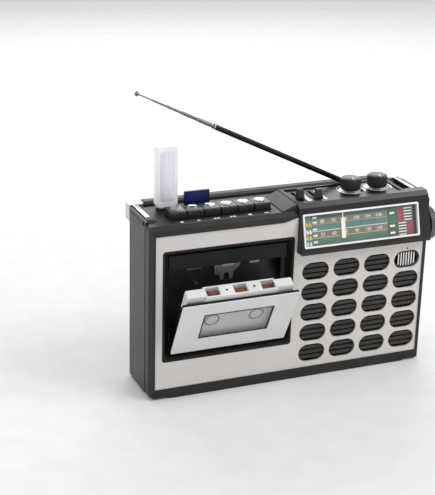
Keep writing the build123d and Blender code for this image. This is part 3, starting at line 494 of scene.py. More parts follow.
class Shape:
    """A mesh under construction, in millimetres on a plane of its own."""

    def __init__(self, place: Matrix | None = None) -> None:
        """Start an empty mesh on a plane, or in the row frame."""
        self.place = place or Matrix.Identity(4)
        self.mesh = bmesh.new()

    def _take(self, part: bmesh.types.BMesh, local: Matrix | None = None) -> "Shape":
        """Move a finished part into the mesh."""
        bmesh.ops.recalc_face_normals(part, faces=part.faces)
        part.transform(self.place @ (local or Matrix.Identity(4)))
        held = bpy.data.meshes.new("held")
        part.to_mesh(held)
        part.free()
        self.mesh.from_mesh(held)
        bpy.data.meshes.remove(held)
        return self

    def plate(self, outline: Sequence[Point2], z: Span, edge: float = 0.1, segments: int = 2) -> "Shape":
        """Add a flat solid over an outline, with its edges eased.

        Args:
            outline: the corners, in order.
            z: its low and high height over the plane.
            edge: the width of the eased edges.
            segments: how many facets each eased edge has.

        Returns:
            The shape itself.
        """
        part = bmesh.new()
        floor = part.faces.new([part.verts.new((px, py, z[0])) for px, py in outline])
        top = bmesh.ops.extrude_face_region(part, geom=[floor])["geom"]
        lifted = [v for v in top if isinstance(v, bmesh.types.BMVert)]
        bmesh.ops.translate(part, verts=lifted, vec=(0, 0, z[1] - z[0]))
        if edge:
            flat = [e for e in part.edges if abs(e.verts[0].co.z - e.verts[1].co.z) < TINY]
            rim = [e for e in flat if e.verts[0].co.z > (z[0] + z[1]) / 2]
            bmesh.ops.bevel(part, geom=rim, offset=edge, segments=segments, affect="EDGES", profile=0.5)
        return self._take(part)

    def block(self, x: Span, y: Span, z: Span, radius: float, edge: float = 0.1, steps: int = 5) -> "Shape":
        """Add a flat solid over a rectangle with rounded corners.

        Args:
            x: its span across the plane.
            y: its span up the plane.
            z: its low and high height over the plane.
            radius: the radius of its corners.
            edge: the width of the eased edges.
            steps: how many facets each corner has.

        Returns:
            The shape itself.
        """
        return self.plate(rounded(x, y, radius, steps), z, edge)

    def turned(self, profile: Sequence[Point2], centre: Point2, steps: int = 40) -> "Shape":
        """Add a solid of revolution round an upright axis.

        Args:
            profile: radius and height of each point, from the axis outwards and back.
            centre: the axis on the plane.
            steps: how many facets go round.

        Returns:
            The shape itself.
        """
        part = bmesh.new()
        turns = [math.tau * i / steps for i in range(steps)]
        circle = [(math.cos(turn), math.sin(turn)) for turn in turns]
        rings = []
        for radius, height in profile:
            around = circle if radius > TINY else [(1.0, 0.0)]
            rings.append([part.verts.new((radius * px, radius * py, height)) for px, py in around])
        closed = profile[0][0] > TINY
        pairs = list(zip(rings, rings[1:])) + ([(rings[-1], rings[0])] if closed else [])
        for low, high in pairs:
            for i in range(steps):
                j = (i + 1) % steps
                corners = [low[i % len(low)], low[j % len(low)], high[j % len(high)], high[i % len(high)]]
                unique = list(dict.fromkeys(corners))
                if len(unique) > 2:
                    part.faces.new(unique)
        return self._take(part, Matrix.Translation((centre[0], centre[1], 0)))

    def digits(self, text: str, x: float, y: float, size: float, z: float) -> "Shape":
        """Add a number as thin raised print.

        Args:
            text: digits only.
            x: its middle across.
            y: its foot.
            size: the height of a line of print.
            z: its height over the plane.

        Returns:
            The shape itself.
        """
        curve = bpy.data.curves.new("digits", "FONT")
        curve.body = text
        curve.size = size
        curve.align_x = "CENTER"
        curve.extrude = PRINT_RELIEF
        curve.resolution_u = 3
        holder = bpy.data.objects.new("digits", curve)
        printed = bpy.data.meshes.new_from_object(holder)
        part = bmesh.new()
        part.from_mesh(printed)
        bpy.data.objects.remove(holder)
        bpy.data.curves.remove(curve)
        bpy.data.meshes.remove(printed)
        return self._take(part, Matrix.Translation((x, y, z)))

    def piece(self, name: str, finish: Finish, body: str, slot: str, angle: float = 35.0) -> bpy.types.Object:
        """Finish the mesh as a named piece that rides on a body.

        Args:
            name: the piece's name.
            finish: its finish.
            body: the moving body it belongs to.
            slot: not used.
            angle: edges sharper than this many degrees stay sharp.

        Returns:
            The new object.
        """
        bmesh.ops.scale(self.mesh, vec=(MM, MM, MM), verts=self.mesh.verts)
        data = bpy.data.meshes.new(name)
        for face in self.mesh.faces:
            face.smooth = True
        for edge in self.mesh.edges:
            edge.smooth = len(edge.link_faces) == 2 and edge.calc_face_angle() < math.radians(angle)
        self.mesh.to_mesh(data)
        self.mesh.free()
        data.materials.append(material_of(finish))
        made = bpy.data.objects.new(name, data)
        bpy.context.scene.collection.objects.link(made)
        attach(made, body)
        LOG.info("piece %s on %s, %d faces", name, body, len(data.polygons))
        return made


def dress(finish: Finish, *names: str) -> None:
    """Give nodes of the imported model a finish."""
    for name in names:
        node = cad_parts[name]
        if not node.material_slots:
            node.data.materials.append(None)
        for holder in node.material_slots:
            holder.material = material_of(finish)
        LOG.info("node %s dressed in %s", name, finish.name)


def corner(name: str) -> tuple[Vector, Vector]:
    """Return a node's lowest and highest corners in millimetres."""
    low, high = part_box(name)
    return low / MM, high / MM


# ------------------------------------------------------------------ cabinet
@dataclass
class Cabinet:
    """The case: front bezel and plate, grille, deck, rear shell, feet and what they hold."""

    screw_radius: float = 3.1
    recess: float = 1.9
    recess_arm: float = 0.45
    recess_lift: float = 0.02
    recess_z: Span = (0.0, 0.06)
    lamp: Point2 = (116.0, 115.6)
    lamp_radius: float = 0.85
    lamp_seat: float = 0.9
    rib_count: int = 7
    rib_pitch: float = 1.8
    rib_width: float = 0.8
    rib_half: float = 11.0
    rib_margin: float = 4.0
    rib_z: Span = (0.0, 0.35)
    bar_count: int = 7
    bar_pitch: float = 2.7
    bar_width: float = 1.3
    bar_straight: float = 5.0
    bar_reach: float = 6.6
    bar_z: Span = (-0.1, 0.5)

    def dress(self) -> None:
        """Give the case and its inner pieces their finishes."""
        dress(BLACK_ABS, "front_bezel", "top_deck", "tuner_deck")
        dress(PLATE_LACQUER, "front_plate")
        dress(LOUVRE_ABS, "speaker_grille", "mic_grille")
        dress(PAPER_CONE, "speaker")
        dress(SIDE_ABS, "rear_cabinet", "battery_door")
        dress(RUBBER, "foot_strips")
        dress(INLET_PA, "ac_inlet")
        dress(ZINC_STEEL, "case_screws", "key_axle", "media_reader", "panel_controls", "motor")
        dress(LAMINATIONS, "power_transformer")
        dress(SOLDER_MASK, "main_board")

    def screw_heads(self) -> None:
        """Build flat black crosses on the heads of the four case screws: painted shade for their cross
        recesses.
        """
        low, high = corner("case_screws")
        radius, half, arm = self.screw_radius, self.recess, self.recess_arm
        cross = [(half, arm), (arm, arm), (arm, half), (-arm, half), (-arm, arm), (-half, arm),
                 (-half, -arm), (-arm, -arm), (-arm, -half), (arm, -half), (arm, -arm), (half, -arm)]
        # each cross is a thin black plate on the head, standing in for the shade inside the recess: painted
        # shade
        shape = Shape(facing_back(high.y + self.recess_lift))
        for x in (low.x + radius, high.x - radius):
            for z in (low.z + radius, high.z - radius):
                # the plane of the back has its own y pointing down
                shape.plate([(x + px, -z + py) for px, py in cross], self.recess_z, 0.0)
        shape.piece("screw_recess_shade", BLACK_INK, "cabinet", "steel")

    def battery_catch(self) -> None:
        """Build the ribbed thumb patch of the battery door."""
        low, high = corner("battery_door")
        across = about((low.x + high.x) / 2, self.rib_half)
        shape = Shape(facing_back(high.y))
        for i in range(self.rib_count):
            y = -high.z + self.rib_margin + self.rib_pitch * i
            shape.block(across, (y, y + self.rib_width), self.rib_z, 0.38, 0.12, 3)
        shape.piece("battery_catch_ribs", SIDE_ABS, "battery_door", "side_abs")

    def lamp_lens(self) -> None:
        """Build the small domed lens beside the microphone."""
        radius = self.lamp_radius
        dome = [(0.0, 0.9), (radius * 0.5, 0.8), (radius * 0.85, 0.45), (radius, 0.0),
                (radius, -0.5), (0.0, -0.5)]
        shape = Shape(facing_front(self.lamp_seat)).turned(dome, self.lamp, 20)
        shape.piece("lamp_lens", BLACK_INK, "cabinet", "black_abs")

    def microphone_bars(self) -> None:
        """Build the upright bright bars of the microphone's grille, cut to a circle."""
        low, high = corner("mic_grille")
        middle = ((low.x + high.x) / 2, (low.z + high.z) / 2)
        half = self.bar_width / 2
        shape = Shape(facing_front(low.y))
        for i in range(self.bar_count):
            x = self.bar_pitch * (i - (self.bar_count - 1) / 2)
            over = max(0.0, abs(x) + half - self.bar_straight)
            tall = math.sqrt(self.bar_reach ** 2 - over ** 2)
            shape.block(about(middle[0] + x, half), about(middle[1], tall), self.bar_z, 0.4, 0.2, 3)
        shape.piece("microphone_bars", BAR_ALUMINIUM, "cabinet", "silver_trim")

    def build(self) -> None:
        """Dress the nodes and build the case's own pieces."""
        self.dress()
        self.microphone_bars()
        self.screw_heads()
        self.battery_catch()
        self.lamp_lens()


# ------------------------------------------------------------------ keys
class Symbol(Enum):
    """What each key does, in the order they stand."""

    RECORD = "record"
    PLAY = "play"
    REWIND = "rewind"
    FORWARD = "forward"
    STOP = "stop"
    PAUSE = "pause"

    def outlines(self) -> list[list[Point2]]:
        """Return the symbol's outlines round its own middle, in millimetres."""
        half, bar_inner = 1.2, 0.4
        whole = (-half, half)
        right = [(-half, -half), (half, 0.0), (-half, half)]
        left = [(-x, y) for x, y in reversed(right)]
        match self:
            case Symbol.RECORD:
                return [arc((0.0, 0.0), half, (0, 345), 23)]
            case Symbol.PLAY:
                return [right]
            case Symbol.REWIND | Symbol.FORWARD:
                wedge = left if self is Symbol.REWIND else right
                return [[(x + shift, y) for x, y in wedge] for shift in whole]
            case Symbol.STOP:
                return [rounded(whole, whole, 0.1, 2)]
            case Symbol.PAUSE:
                return [rounded(x, whole, 0.1, 2) for x in ((-half, -bar_inner), (bar_inner, half))]


@dataclass
class PianoKeys:
    """Six keys with a polished disc on each, and their symbols on the deck in front of them."""

    disc_radius: float = 5.0
    disc_back: float = 9.0
    dish: float = 0.55
    symbol_y: float = 8.8
    symbol_scale: float = 1.35
    symbol_z: Span = (0.0, 0.05)

    def disc(self, key: str) -> None:
        """Build the dished chrome disc on one key."""
        low, high = corner(key)
        radius = self.disc_radius
        profile = [(0.0, 0.15), (radius * 0.45, 0.22), (radius * 0.8, 0.5), (radius * 0.9, self.dish + 0.15),
                   (radius * 0.96, self.dish + 0.12), (radius, 0.3), (radius, -0.1), (0.0, -0.1)]
        centre = ((low.x + high.x) / 2, low.y + self.disc_back)
        shape = Shape(facing_up(high.z)).turned(profile, centre, 48)
        shape.piece(f"{key}_disc", SHADED_DISC_CHROME, key, "chrome", 60.0)

    def build(self) -> None:
        """Dress the keys and build their discs and symbols."""
        _, bezel = corner("front_bezel")
        scale = self.symbol_scale
        for symbol in Symbol:
            key = f"{symbol.value}_key"
            dress(KEY_ABS, key)
            self.disc(key)
            low, high = corner(key)
            middle = (low.x + high.x) / 2
            shape = Shape(facing_up(bezel.z))
            for outline in symbol.outlines():
                placed = [(px * scale + middle, py * scale + self.symbol_y) for px, py in outline]
                shape.plate(placed, self.symbol_z, 0.0)
            shape.piece(f"{key}_symbol", WHITE_INK, "cabinet", "white_abs")


# ------------------------------------------------------------------ tuner
@dataclass
class Dial:
    """The tuning dial: printed bands, lines, numbers and marks behind a clear lens in a white frame."""

    foot_y: float = -9.5
    foot_z: float = 128.6
    lean_deg: float = 15.0
    sheet_z: float = -4.0
    band_lift: float = 0.05
    line_lift: float = 0.09
    print_lift: float = 0.12
    label_lift: float = 0.16
    x: Span = (8.4, 122.0)
    up: Span = (3.5, 31.1)
    scale_x: Span = (22.5, 92.0)
    block_x: Span = (92.0, 102.0)
    column_x: Span = (103.0, 119.0)
    step_count: int = 10
    step_width: float = 8.2
    step_turn: float = 0.46
    tick_count: int = 40
    tick_top: float = 0.985
    tick_width: float = 0.6
    digit_size: float = 4.2
    digit_pitch: float = 0.165

    def __post_init__(self) -> None:
        """Work out the plane of the dial."""
        lean = math.radians(self.lean_deg)
        self.face = plane((0.0, self.foot_y, self.foot_z), (0.0, -math.cos(lean), math.sin(lean)))

    def height(self, share: float) -> float:
        """Return the height up the sheet at a share of the printed height."""
        return self.up[0] + share * (self.up[1] - self.up[0])

    def layer(self, lift: float) -> Span:
        """Return the low and high face of print that stands a little over the sheet."""
        return (self.sheet_z, self.sheet_z + lift)

    def strip(self, name: str, x: Span, share: Span, colour: tuple[str, str], lift: float) -> None:
        """Print one flat strip.

        Args:
            name: the strip's name.
            x: its place across.
            share: its low and high edge as a share of the printed height.
            colour: its ink and the ink's shade.
            lift: its height over the sheet.
        """
        y = (self.height(share[0]), self.height(share[1]))
        shape = Shape(self.face).block(x, y, self.layer(lift), 0.08, 0.0, 2)
        shape.piece(name, PrintedInk(f"ink_{name}", *colour), "cabinet", "dial_print")

    def bands(self) -> None:
        """Print the coloured bands behind the numbers and the lines between them."""
        wide = (self.x[0], self.block_x[0])
        pale = ("#dfe6e8", "#d2dadc")
        bands = (("band_top", (0.89, 1.0), ("#24524f", "#2e625c")),
                 ("band_fm", (0.72, 0.89), ("#6f7869", "#7c8373")),
                 ("band_middle", (0.50, 0.69), ("#3f7a72", "#4f8a80")),
                 ("band_am", (0.30, 0.475), ("#776a60", "#827468")),
                 ("band_bottom", (0.04, 0.255), ("#46705c", "#558069")))
        for name, share, colour in bands:
            # the top band runs on over the blocks, up to the columns
            x = (self.x[0], self.column_x[0] - 1) if name == "band_top" else wide
            self.strip(name, x, share, colour, self.band_lift)
        lines = (("line_orange", (0.695, 0.72), ("#c98f4a", "#d69c58")),
                 ("line_white", (0.475, 0.50), pale),
                 ("line_yellow", (0.255, 0.28), ("#c9b552", "#d4c266")),
                 ("line_foot", (0.0, 0.02), pale))
        for name, share, colour in lines:
            self.strip(name, wide, share, colour, self.line_lift)

    def tabs(self) -> None:
        """Print the coloured tabs that begin each row."""
        left = self.x[0]
        self.strip("tab_edge", (left, left + 0.9), (0.0, 0.90), ("#c0564a", "#c86456"), 0.11)
        tabs = (("green", 0.86, "#2c9a66"), ("amber", 0.655, "#e2b23a"), ("white", 0.42, "#f0f0f0"),
                ("yellow", 0.225, "#dccb3c"), ("pale", 0.02, "#ececec"))
        tall = 0.13 * (self.up[1] - self.up[0])
        for name, low, colour in tabs:
            y = self.height(low)
            shape = Shape(self.face)
            for x in (left + 1.4, left + 4.3):
                wedge = [(x, y), (x + 2.4, y), (x + 1.5, y + tall), (x, y + tall)]
                shape.plate(wedge, self.layer(self.print_lift), 0.0)
            shape.piece(f"tab_{name}", PrintedInk(f"ink_tab_{name}", colour, colour), "cabinet", "dial_print")

    def meter(self) -> None:
        """Print the blocks and the two stepped columns at the right."""
        left, right = self.column_x
        grey, red = ("#3f463f", "#495049"), ("#9a2a44", "#a83850")
        strips = (("block_top", self.block_x, (0.70, 0.89), grey, 0.06),
                  ("block_green", self.block_x, (0.50, 0.69), ("#1f6a40", "#2a7a4c"), 0.1),
                  ("block_dark", self.block_x, (0.0, 0.48), grey, 0.08),
                  ("column_ground", (left - 1, right), (0.0, 1.0), ("#4c4f48", "#565952"), self.band_lift),
                  ("column_black", (right, self.x[1]), (0.0, 1.0), ("#0e0e0e", "#161616"), 0.08),
                  ("column_upper", (left, left + 5.4), (self.step_turn, 0.93), red, 0.1),
                  ("column_lower", (left + 9.4, right - 0.4), (0.02, self.step_turn), red, 0.1))
        for strip in strips:
            self.strip(*strip)
        shape = Shape(self.face)
        for i in range(self.step_count):
            share = 0.03 + 0.96 * i / self.step_count
            y = self.height(share)
            x = left + (6.4 if share > self.step_turn else 0.4)
            shape.block((x, x + self.step_width), (y, y + 1.0), self.layer(self.print_lift), 0.3, 0.0, 2)
        shape.piece("meter_marks", WHITE_INK, "cabinet", "white_abs")

    def numbers(self) -> None:
        """Print the two rows of plain numbers."""
        shape = Shape(self.face)
        width = self.scale_x[1] - self.scale_x[0]
        for share, texts in ((0.745, "88 92 96 100 104 108"), (0.315, "53 60 70 90 120 160")):
            for i, text in enumerate(texts.split()):
                x = self.scale_x[0] + width * (0.05 + self.digit_pitch * i)
                shape.digits(text, x, self.height(share), self.digit_size, self.sheet_z + self.print_lift)
        shape.piece("dial_numbers", WHITE_INK, "cabinet", "white_abs")

    def ticks(self) -> None:
        """Print the fine ticks over the upper numbers, each fourth one longer."""
        shape = Shape(self.face)
        high = self.height(self.tick_top)
        for i in range(self.tick_count):
            x = self.scale_x[0] + (self.block_x[1] - self.scale_x[0]) * i / self.tick_count
            low = self.height(self.tick_top - (0.075 if i % 4 == 0 else 0.045))
            end = x + self.tick_width
            shape.plate([(x, low), (end, low), (end, high), (x, high)], self.layer(self.print_lift), 0.0)
        shape.piece("dial_ticks", BLACK_INK, "cabinet", "black_abs")

    def band_marks(self) -> None:
        """Print a short mark in each block and at the head of each row."""
        shape = Shape(self.face)
        blocks = (self.block_x[0] + 2.4, self.block_x[1] - 2.4)
        heads = (self.x[0] + 8.0, self.x[0] + 12.2)
        for share in (0.76, 0.33, 0.10):
            y = self.height(share)
            shape.block(blocks, (y, y + 2.0), self.layer(self.label_lift), 0.5, 0.0, 2)
        for share in (0.90, 0.745, 0.52, 0.315, 0.10):
            y = self.height(share)
            shape.block(heads, (y, y + 1.7), self.layer(self.print_lift), 0.4, 0.0, 2)
        shape.piece("band_marks", WHITE_INK, "cabinet", "white_abs")

    def build(self) -> None:
        """Dress the dial's nodes and print its sheet."""
        dress(HOUSING_ABS, "dial_housing")
        dress(WHITE_ABS, "dial_frame")
        dress(CLEAR_ACRYLIC, "dial_lens")
        dress(DIAL_BASE, "dial_scale")
        dress(IVORY_ABS, "dial_pointer")
        dress(WHEEL_ABS, "tuning_wheel")
        self.bands()
        self.tabs()
        self.meter()
        self.numbers()
        self.ticks()
        self.band_marks()


@dataclass
class Controls:
    """Two ribbed knobs with metal caps, two lever switches and the scales printed round them."""

    cap_radius: float = 7.6
    cap_height: float = 0.5
    skirt: tuple[Point2, ...] = ((3.9, 0.0), (12.4, 0.0), (12.3, 0.25), (9.0, 1.9), (3.9, 1.9))
    wedge: Span = (12.5, 14.4)
    wedge_turn: Span = (215.0, -35.0)
    wedge_steps: int = 30
    wedge_z: Span = (0.0, 0.06)
    tray_drop: float = 1.6
    strip_gap: float = 1.4
    strip_width: float = 4.6
    strip_y: Span = (13.0, 38.0)
    strip_z: Span = (0.0, 0.3)
    stop_count: int = 4
    stop_first: float = 15.6
    stop_pitch: float = 6.4
    stop_z: Span = (0.28, 0.36)

    def knob(self, name: str) -> None:
        """Build the turned cap, its mark and the skirt and scale round one knob."""
        low, high = corner(name)
        x, y = centre = ((low.x + high.x) / 2, (low.y + high.y) / 2)
        top = facing_up(high.z)
        radius, tall = self.cap_radius, self.cap_height
        cap = [(0.0, tall - 0.18), (radius * 0.84, tall - 0.16), (radius * 0.9, tall),
               (radius * 0.97, tall - 0.08), (radius, tall - 0.3), (radius, -0.1), (0.0, -0.1)]
        Shape(top).turned(cap, centre, 56).piece(f"{name}_cap", CAP_METAL, name, "silver_trim", 50.0)
        mark = Shape(top)
        mark.block(about(x, 0.5), (y - radius + 0.6, y - 2.2), (tall - 0.2, tall - 0.02), 0.3, 0.03, 3)
        mark.piece(f"{name}_mark", WHITE_INK, name, "white_abs")
        _, plate_high = corner("control_plate")
        deck = facing_up(plate_high.z)
        skirt = Shape(deck).turned(self.skirt, centre, 56)
        skirt.piece(f"{name}_skirt", SKIRT_METAL, "cabinet", "silver_trim", 25.0)
        # the printed wedge widens clockwise, as a loudness mark does
        thin, thick = self.wedge
        inner = arc(centre, thin, self.wedge_turn, self.wedge_steps)
        growing = [thin + (thick - thin) * i / self.wedge_steps for i in range(self.wedge_steps + 1)]
        outer = [(x + r * (px - x) / thin, y + r * (py - y) / thin) for r, (px, py) in zip(growing, inner)]
        ring = Shape(deck).plate(inner + outer[::-1], self.wedge_z, 0.0)
        ring.piece(f"{name}_wedge", WHITE_INK, "cabinet", "white_abs")

    def lever_scale(self, name: str) -> None:
        """Build the bright strip beside one lever and the dark stops across it."""
        _, high = corner(name)
        deck = facing_up(corner("tuner_deck")[1].z - self.tray_drop)
        x = high.x + self.strip_gap
        strip = Shape(deck).block((x, x + self.strip_width), self.strip_y, self.strip_z, 0.8)
        strip.piece(f"{name}_strip", STRIP_ALUMINIUM, "cabinet", "silver_trim")
        marks = Shape(deck)
        for i in range(self.stop_count):
            y = self.stop_first + self.stop_pitch * i
            marks.block((x + 0.8, x + 3.8), (y, y + 0.9), self.stop_z, 0.2, 0.0, 2)
        marks.piece(f"{name}_stops", BLACK_INK, "cabinet", "black_abs")

    def build(self) -> None:
        """Dress the controls and build their caps and scales."""
        dress(SCALE_METAL, "control_plate")
        dress(KNOB_ABS, "volume_knob", "tone_knob", "function_lever", "band_lever")
        for name in ("volume_knob", "tone_knob"):
            self.knob(name)
        for name in ("function_lever", "band_lever"):
            self.lever_scale(name)


# ------------------------------------------------------------------ cassette side
@dataclass
class CassetteDeck:
    """The open door, the cassette in it and the drive behind them."""

    hinge_y: float = 8.0
    hinge_z: float = 46.0
    hinge_back: float = 7.92
    lean_deg: float = 28.1
    window_x: Span = (-95.5, -28.5)
    window_y: Span = (18.3, 51.0)
    bead_width: float = 1.3
    bead_z: Span = (-0.6, 0.12)
    arm_y: float = 17.6
    arm_up: float = 13.5
    middle: float = -62.3
    hub_up: float = 35.4
    hub_pitch: float = 42.5
    mouth_pitch: float = 26.0
    tape_z: Span = (-12.4, -7.6)
    pad_z: Span = (-11.6, -8.4)
    shell_top: float = 70.0
    hole_offsets: tuple[float, ...] = (-13.0, 13.0, -31.0, 31.0)
    hole: tuple[Point2, ...] = ((0.0, 0.06), (1.1, 0.06), (1.3, -0.1), (0.0, -0.1))
    label_half: float = 46.0
    label_y: Span = (20.0, 54.0)
    label_z: Span = (-5.66, -5.58)
    rim: tuple[Point2, ...] = ((5.5, -5.5), (7.4, -5.5), (7.4, -5.3), (5.5, -5.3))

    def __post_init__(self) -> None:
        """Work out the plane of the open door."""
        lean = math.radians(self.lean_deg)
        origin = (0.0, self.hinge_y - self.hinge_back * math.cos(lean),
                  self.hinge_z - self.hinge_back * math.sin(lean))
        self.door = plane(origin, (0.0, -math.cos(lean), -math.sin(lean)))

    def window_trim(self) -> None:
        """Build the thin dark bead round the door's window."""
        x, y, width = self.window_x, self.window_y, self.bead_width
        shape = Shape(self.door)
        for side_x, side_y in ((x, (y[0], y[0] + width)), (x, (y[1] - width, y[1])),
                               ((x[0], x[0] + width), y), ((x[1] - width, x[1]), y)):
            shape.block(side_x, side_y, self.bead_z, 0.3, 0.1, 3)
        shape.piece("window_bead", BLACK_INK, "cassette_door", "black_abs")

    def roller_arm(self) -> None:
        """Build the bright stamped arm that carries the pinch roller."""
        low, _ = corner("head_plate")
        foot = low.z + self.arm_up
        arm = [(-96.0, foot + 2), (-93.0, foot), (-83.5, foot), (-81.0, foot + 3), (-81.0, foot + 14),
               (-96.0, foot + 14)]
        shape = Shape(facing_front(self.arm_y)).plate(arm, (0.05, 0.5), 0.15)
        shape.piece("roller_arm", ZINC_STEEL, "head_plate", "steel")

    def tape_run(self) -> None:
        """Build the tape across the cassette's mouths and the pressure pads behind it."""
        tape, pads = Shape(self.door), Shape(self.door)
        for offset in (-self.mouth_pitch, 0.0, self.mouth_pitch):
            x = self.middle + offset
            tape.block(about(x, 6.2), (66.6, 67.0), self.tape_z, 0.1, 0.0, 2)
            pads.block(about(x, 2.2), (65.6, 66.5), self.pad_z, 0.2, 0.1, 2)
        tape.piece("tape_run", TAPE_FILM, "cassette", "tape")
        pads.piece("pressure_pads", ZINC_STEEL, "cassette", "steel")

    def shell_details(self) -> None:
        """Build black discs that paint the shade of the holes in the cassette's open edge, its label and the
        rims of its hubs.
        """
        edge = self.door @ Matrix.Translation((0, self.shell_top, 0)) @ Matrix.Rotation(-math.pi / 2, 4, "X")
        # the holes are thin black ink discs on the edge: painted shade, not openings
        holes = Shape(edge)
        for offset in self.hole_offsets:
            holes.turned(self.hole, (self.middle + offset, 10.0), 20)
        holes.piece("cassette_hole_shade", BLACK_INK, "cassette", "black_abs")
        label = Shape(self.door)
        label.block(about(self.middle, self.label_half), self.label_y, self.label_z, 2.0, 0.0)
        label.piece("cassette_label", LABEL_PAPER, "cassette", "white_abs")
        hubs = Shape(self.door)
        for sign in (-1, 1):
            hubs.turned(self.rim, (self.middle + sign * self.hub_pitch / 2, self.hub_up), 40)
        hubs.piece("hub_rims", GREY_INK, "cassette", "white_abs")

    def build(self) -> None:
        """Dress the nodes of the deck and build its own pieces."""
        dress(BAY_ABS, "bay_frame", "door_carrier")
        dress(PEARL_ABS, "door_panel")
        dress(SMOKED_ACRYLIC, "door_window")
        dress(SHELL_PS, "cassette_shell")
        dress(DARK_STEEL, "mech_chassis")
        dress(COMB_STEEL, "head_plate")
        dress(RUBBER, "pinch_roller")
        dress(TURNED_STEEL, "capstan_flywheel")
        dress(ACETAL, "supply_spindle", "take_up_spindle")
        for name in ("left_reel", "right_reel"):
            low, high = corner(name)
            wound = RingedSurface(f"wound_tape_{name}", "#2c1a12", "#4a2c1e", tuple((low + high) / 2), 0.8)
            dress(wound, name)
        self.window_trim()
        self.roller_arm()
        self.tape_run()
        self.shell_details()


# ------------------------------------------------------------------ handle, antenna and media
@dataclass
class Handle:
    """The carrying handle: bright strips on the arms, cast corners and a grained grip."""

    arm_x: Span = (128.6, 134.6)
    strip_margin: float = 0.9
    strip_front: float = 24.0
    strip_z: Span = (-0.1, 0.25)

    def build(self) -> None:
        """Dress the handle and build the two bright strips."""
        dress(BLACK_ABS, "handle_arms")
        dress(SILVER_PAINT, "handle_corners")
        dress(GRIP_PVC, "handle_grip")
        _, high = corner("handle_arms")
        corners, _ = corner("handle_corners")
        inner, outer = self.arm_x[0] + self.strip_margin, self.arm_x[1] - self.strip_margin
        shape = Shape(facing_up(high.z))
        for x in ((-outer, -inner), (inner, outer)):
            shape.block(x, (self.strip_front, corners.y), self.strip_z, 0.8)
        shape.piece("arm_strips", STRIP_ALUMINIUM, "handle", "silver_trim")


@dataclass
class Antenna:
    """The telescopic antenna with a rolled collar at the mouth of each tube."""

    pivot: Point3 = (74.4, 51.5, 168.4)
    rise_deg: float = 25.9
    tube_end: float = 150.3
    radii: tuple[float, ...] = (2.5, 1.9, 1.6, 1.3, 1.0)
    shown: tuple[float, ...] = (17.4, 15.9, 16.3, 14.8)
    bead: float = 0.28
    tube_collar: float = 1.2
    stage_collar: float = 0.42

    def build(self) -> None:
        """Dress the tubes and build their collars."""
        dress(SHADED_TUBE_CHROME, "antenna_base", "antenna_tube")
        dress(DRAWN_CHROME, *(f"antenna_stage_{i}" for i in range(1, 6)))
        rise = math.radians(self.rise_deg)
        way = Vector((-math.cos(rise), 0.0, math.sin(rise)))
        turn = Vector((0.0, 0.0, 1.0)).rotation_difference(way).to_matrix().to_4x4()
        bodies = ("antenna_mast", *(f"antenna_part_{i}" for i in range(1, 5)))
        reach = self.tube_end
        for body, radius, shown in zip(bodies, self.radii, (0.0, *self.shown)):
            reach += shown
            place = Matrix.Translation(Vector(self.pivot) + way * reach) @ turn
            # the collars of the inner tubes stay clear of each other when all are pushed in
            tall = self.stage_collar if shown else self.tube_collar
            slope = radius + self.bead * 0.6
            ring = [(radius - 0.1, -tall), (slope, -0.92 * tall), (radius + self.bead, -0.6 * tall),
                    (slope, -0.25 * tall), (radius - 0.1, -0.08 * tall)]
            shape = Shape(place).turned(ring, (0.0, 0.0), 32)
            shape.piece(f"{body}_collar", CHROME, body, "chrome", 70.0)


@dataclass
class Media:
    """The memory stick with its inset panel, and the memory card with its film label."""

    inset: float = 3.6
    inset_foot: float = 6.5
    stick_foot: float = 165.6
    panel_z: Span = (-0.1, 0.18)
    label_z: Span = (-0.05, 0.06)

    def build(self) -> None:
        """Dress the stick and the card and build their panels."""
        dress(USB_ABS, "usb_stick")
        dress(CARD_ABS, "sd_card")
        low, high = corner("usb_stick")
        across = (low.x + self.inset, high.x - self.inset)
        upright = (self.stick_foot + self.inset_foot, high.z - self.inset - 1.0)
        panel = Shape(facing_front(low.y)).block(across, upright, self.panel_z, 3.0, 0.14)
        panel.piece("stick_panel", USB_INSET, "usb_stick", "usb_white")
        low, high = corner("sd_card")
        across, upright = (low.x + 2.0, high.x - 2.0), (low.z + 8.0, high.z - 1.6)
        label = Shape(facing_front(low.y)).block(across, upright, self.label_z, 0.8, 0.0)
        label.piece("card_label", CARD_LABEL, "sd_card", "card_blue")


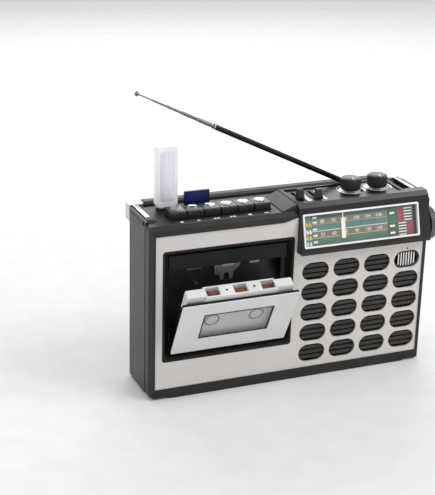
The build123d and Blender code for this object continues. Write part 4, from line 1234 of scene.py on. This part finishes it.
# ------------------------------------------------------------------ studio
@dataclass
class Studio:
    """A pale sweep, large soft lights and the camera."""

    centre: Point3 = (-495.86, -1011.43, 555.78)
    azimuth_deg: float = -22.57
    elevation_deg: float = 20.81
    roll_deg: float = 1.45
    lens_mm: float = 97.56
    sensor_mm: float = 36.0
    clip_m: float = 50.0
    floor_half: float = 3000.0
    world_strength: float = 0.66

    def camera(self) -> None:
        """Place the camera and make it the scene's own."""
        angles = (self.azimuth_deg, self.elevation_deg, self.roll_deg)
        azimuth, elevation, roll = (math.radians(angle) for angle in angles)
        back = Vector((math.sin(azimuth) * math.cos(elevation), -math.cos(azimuth) * math.cos(elevation),
                       math.sin(elevation)))
        level = Vector((0.0, 0.0, 1.0)).cross(back).normalized()
        above = back.cross(level)
        right = math.cos(roll) * level + math.sin(roll) * above
        up = -math.sin(roll) * level + math.cos(roll) * above
        data = bpy.data.cameras.new("camera")
        data.sensor_fit = "VERTICAL"
        data.sensor_height = self.sensor_mm
        data.lens = self.lens_mm
        data.clip_end = self.clip_m
        made = bpy.data.objects.new("camera", data)
        made.matrix_world = (Matrix.Translation(Vector(self.centre) * MM)
                             @ Matrix((right, up, back)).transposed().to_4x4())
        bpy.context.scene.collection.objects.link(made)
        bpy.context.scene.camera = made

    def floor(self) -> None:
        """Build the pale floor that the object stands on."""
        half = self.floor_half * MM
        corners = [(-half, -half, 0), (half, -half, 0), (half, half, 0), (-half, half, 0)]
        data = bpy.data.meshes.new("floor")
        data.from_pydata(corners, [], [(0, 1, 2, 3)])
        paper = MouldedPlastic("painted_board_floor", "#eaeaea", "#eeeeee", 0.6, 3.0, 0.01, reflection=0.2)
        data.materials.append(material_of(paper))
        made = bpy.data.objects.new("floor", data)
        bpy.context.scene.collection.objects.link(made)

    def light(self, name: str, place: Point3, target: Point3, size: Point2, power: float) -> None:
        """Hang one soft rectangular light.

        Args:
            name: the light's name.
            place: where it hangs, in millimetres.
            target: what it points at.
            size: its width and height.
            power: its power in watts.
        """
        data = bpy.data.lights.new(name, "AREA")
        data.shape = "RECTANGLE"
        data.size, data.size_y = size[0] * MM, size[1] * MM
        data.energy = power
        made = bpy.data.objects.new(name, data)
        turn = (Vector(place) - Vector(target)).to_track_quat("Z", "Y").to_matrix().to_4x4()
        made.matrix_world = Matrix.Translation(Vector(place) * MM) @ turn
        bpy.context.scene.collection.objects.link(made)

    def build(self) -> None:
        """Build the floor, the lights and the camera."""
        self.camera()
        self.floor()
        self.light("key", (900, -700, 1300), (0, 0, 80), (900, 900), 12.0)
        self.light("back", (300, 1400, 1000), (0, 0, 120), (1600, 800), 12.0)
        self.light("side", (-1500, 100, 500), (-100, 0, 100), (900, 900), 3.0)
        world = bpy.data.worlds.new("world")
        world.use_nodes = True
        background = world.node_tree.nodes["Background"]
        background.inputs["Color"].default_value = (1.0, 1.0, 1.0, 1.0)
        background.inputs["Strength"].default_value = self.world_strength
        bpy.context.scene.world = world
        bpy.context.scene.view_settings.view_transform = "Standard"


def main() -> None:
    """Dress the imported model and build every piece."""
    logging.basicConfig(level=logging.INFO, format="%(name)s: %(message)s")
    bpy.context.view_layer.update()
    Studio().build()
    for part in (Cabinet(), PianoKeys(), Dial(), Controls(), CassetteDeck(), Handle(), Antenna(), Media()):
        part.build()


if __name__ == "__main__":
    main()
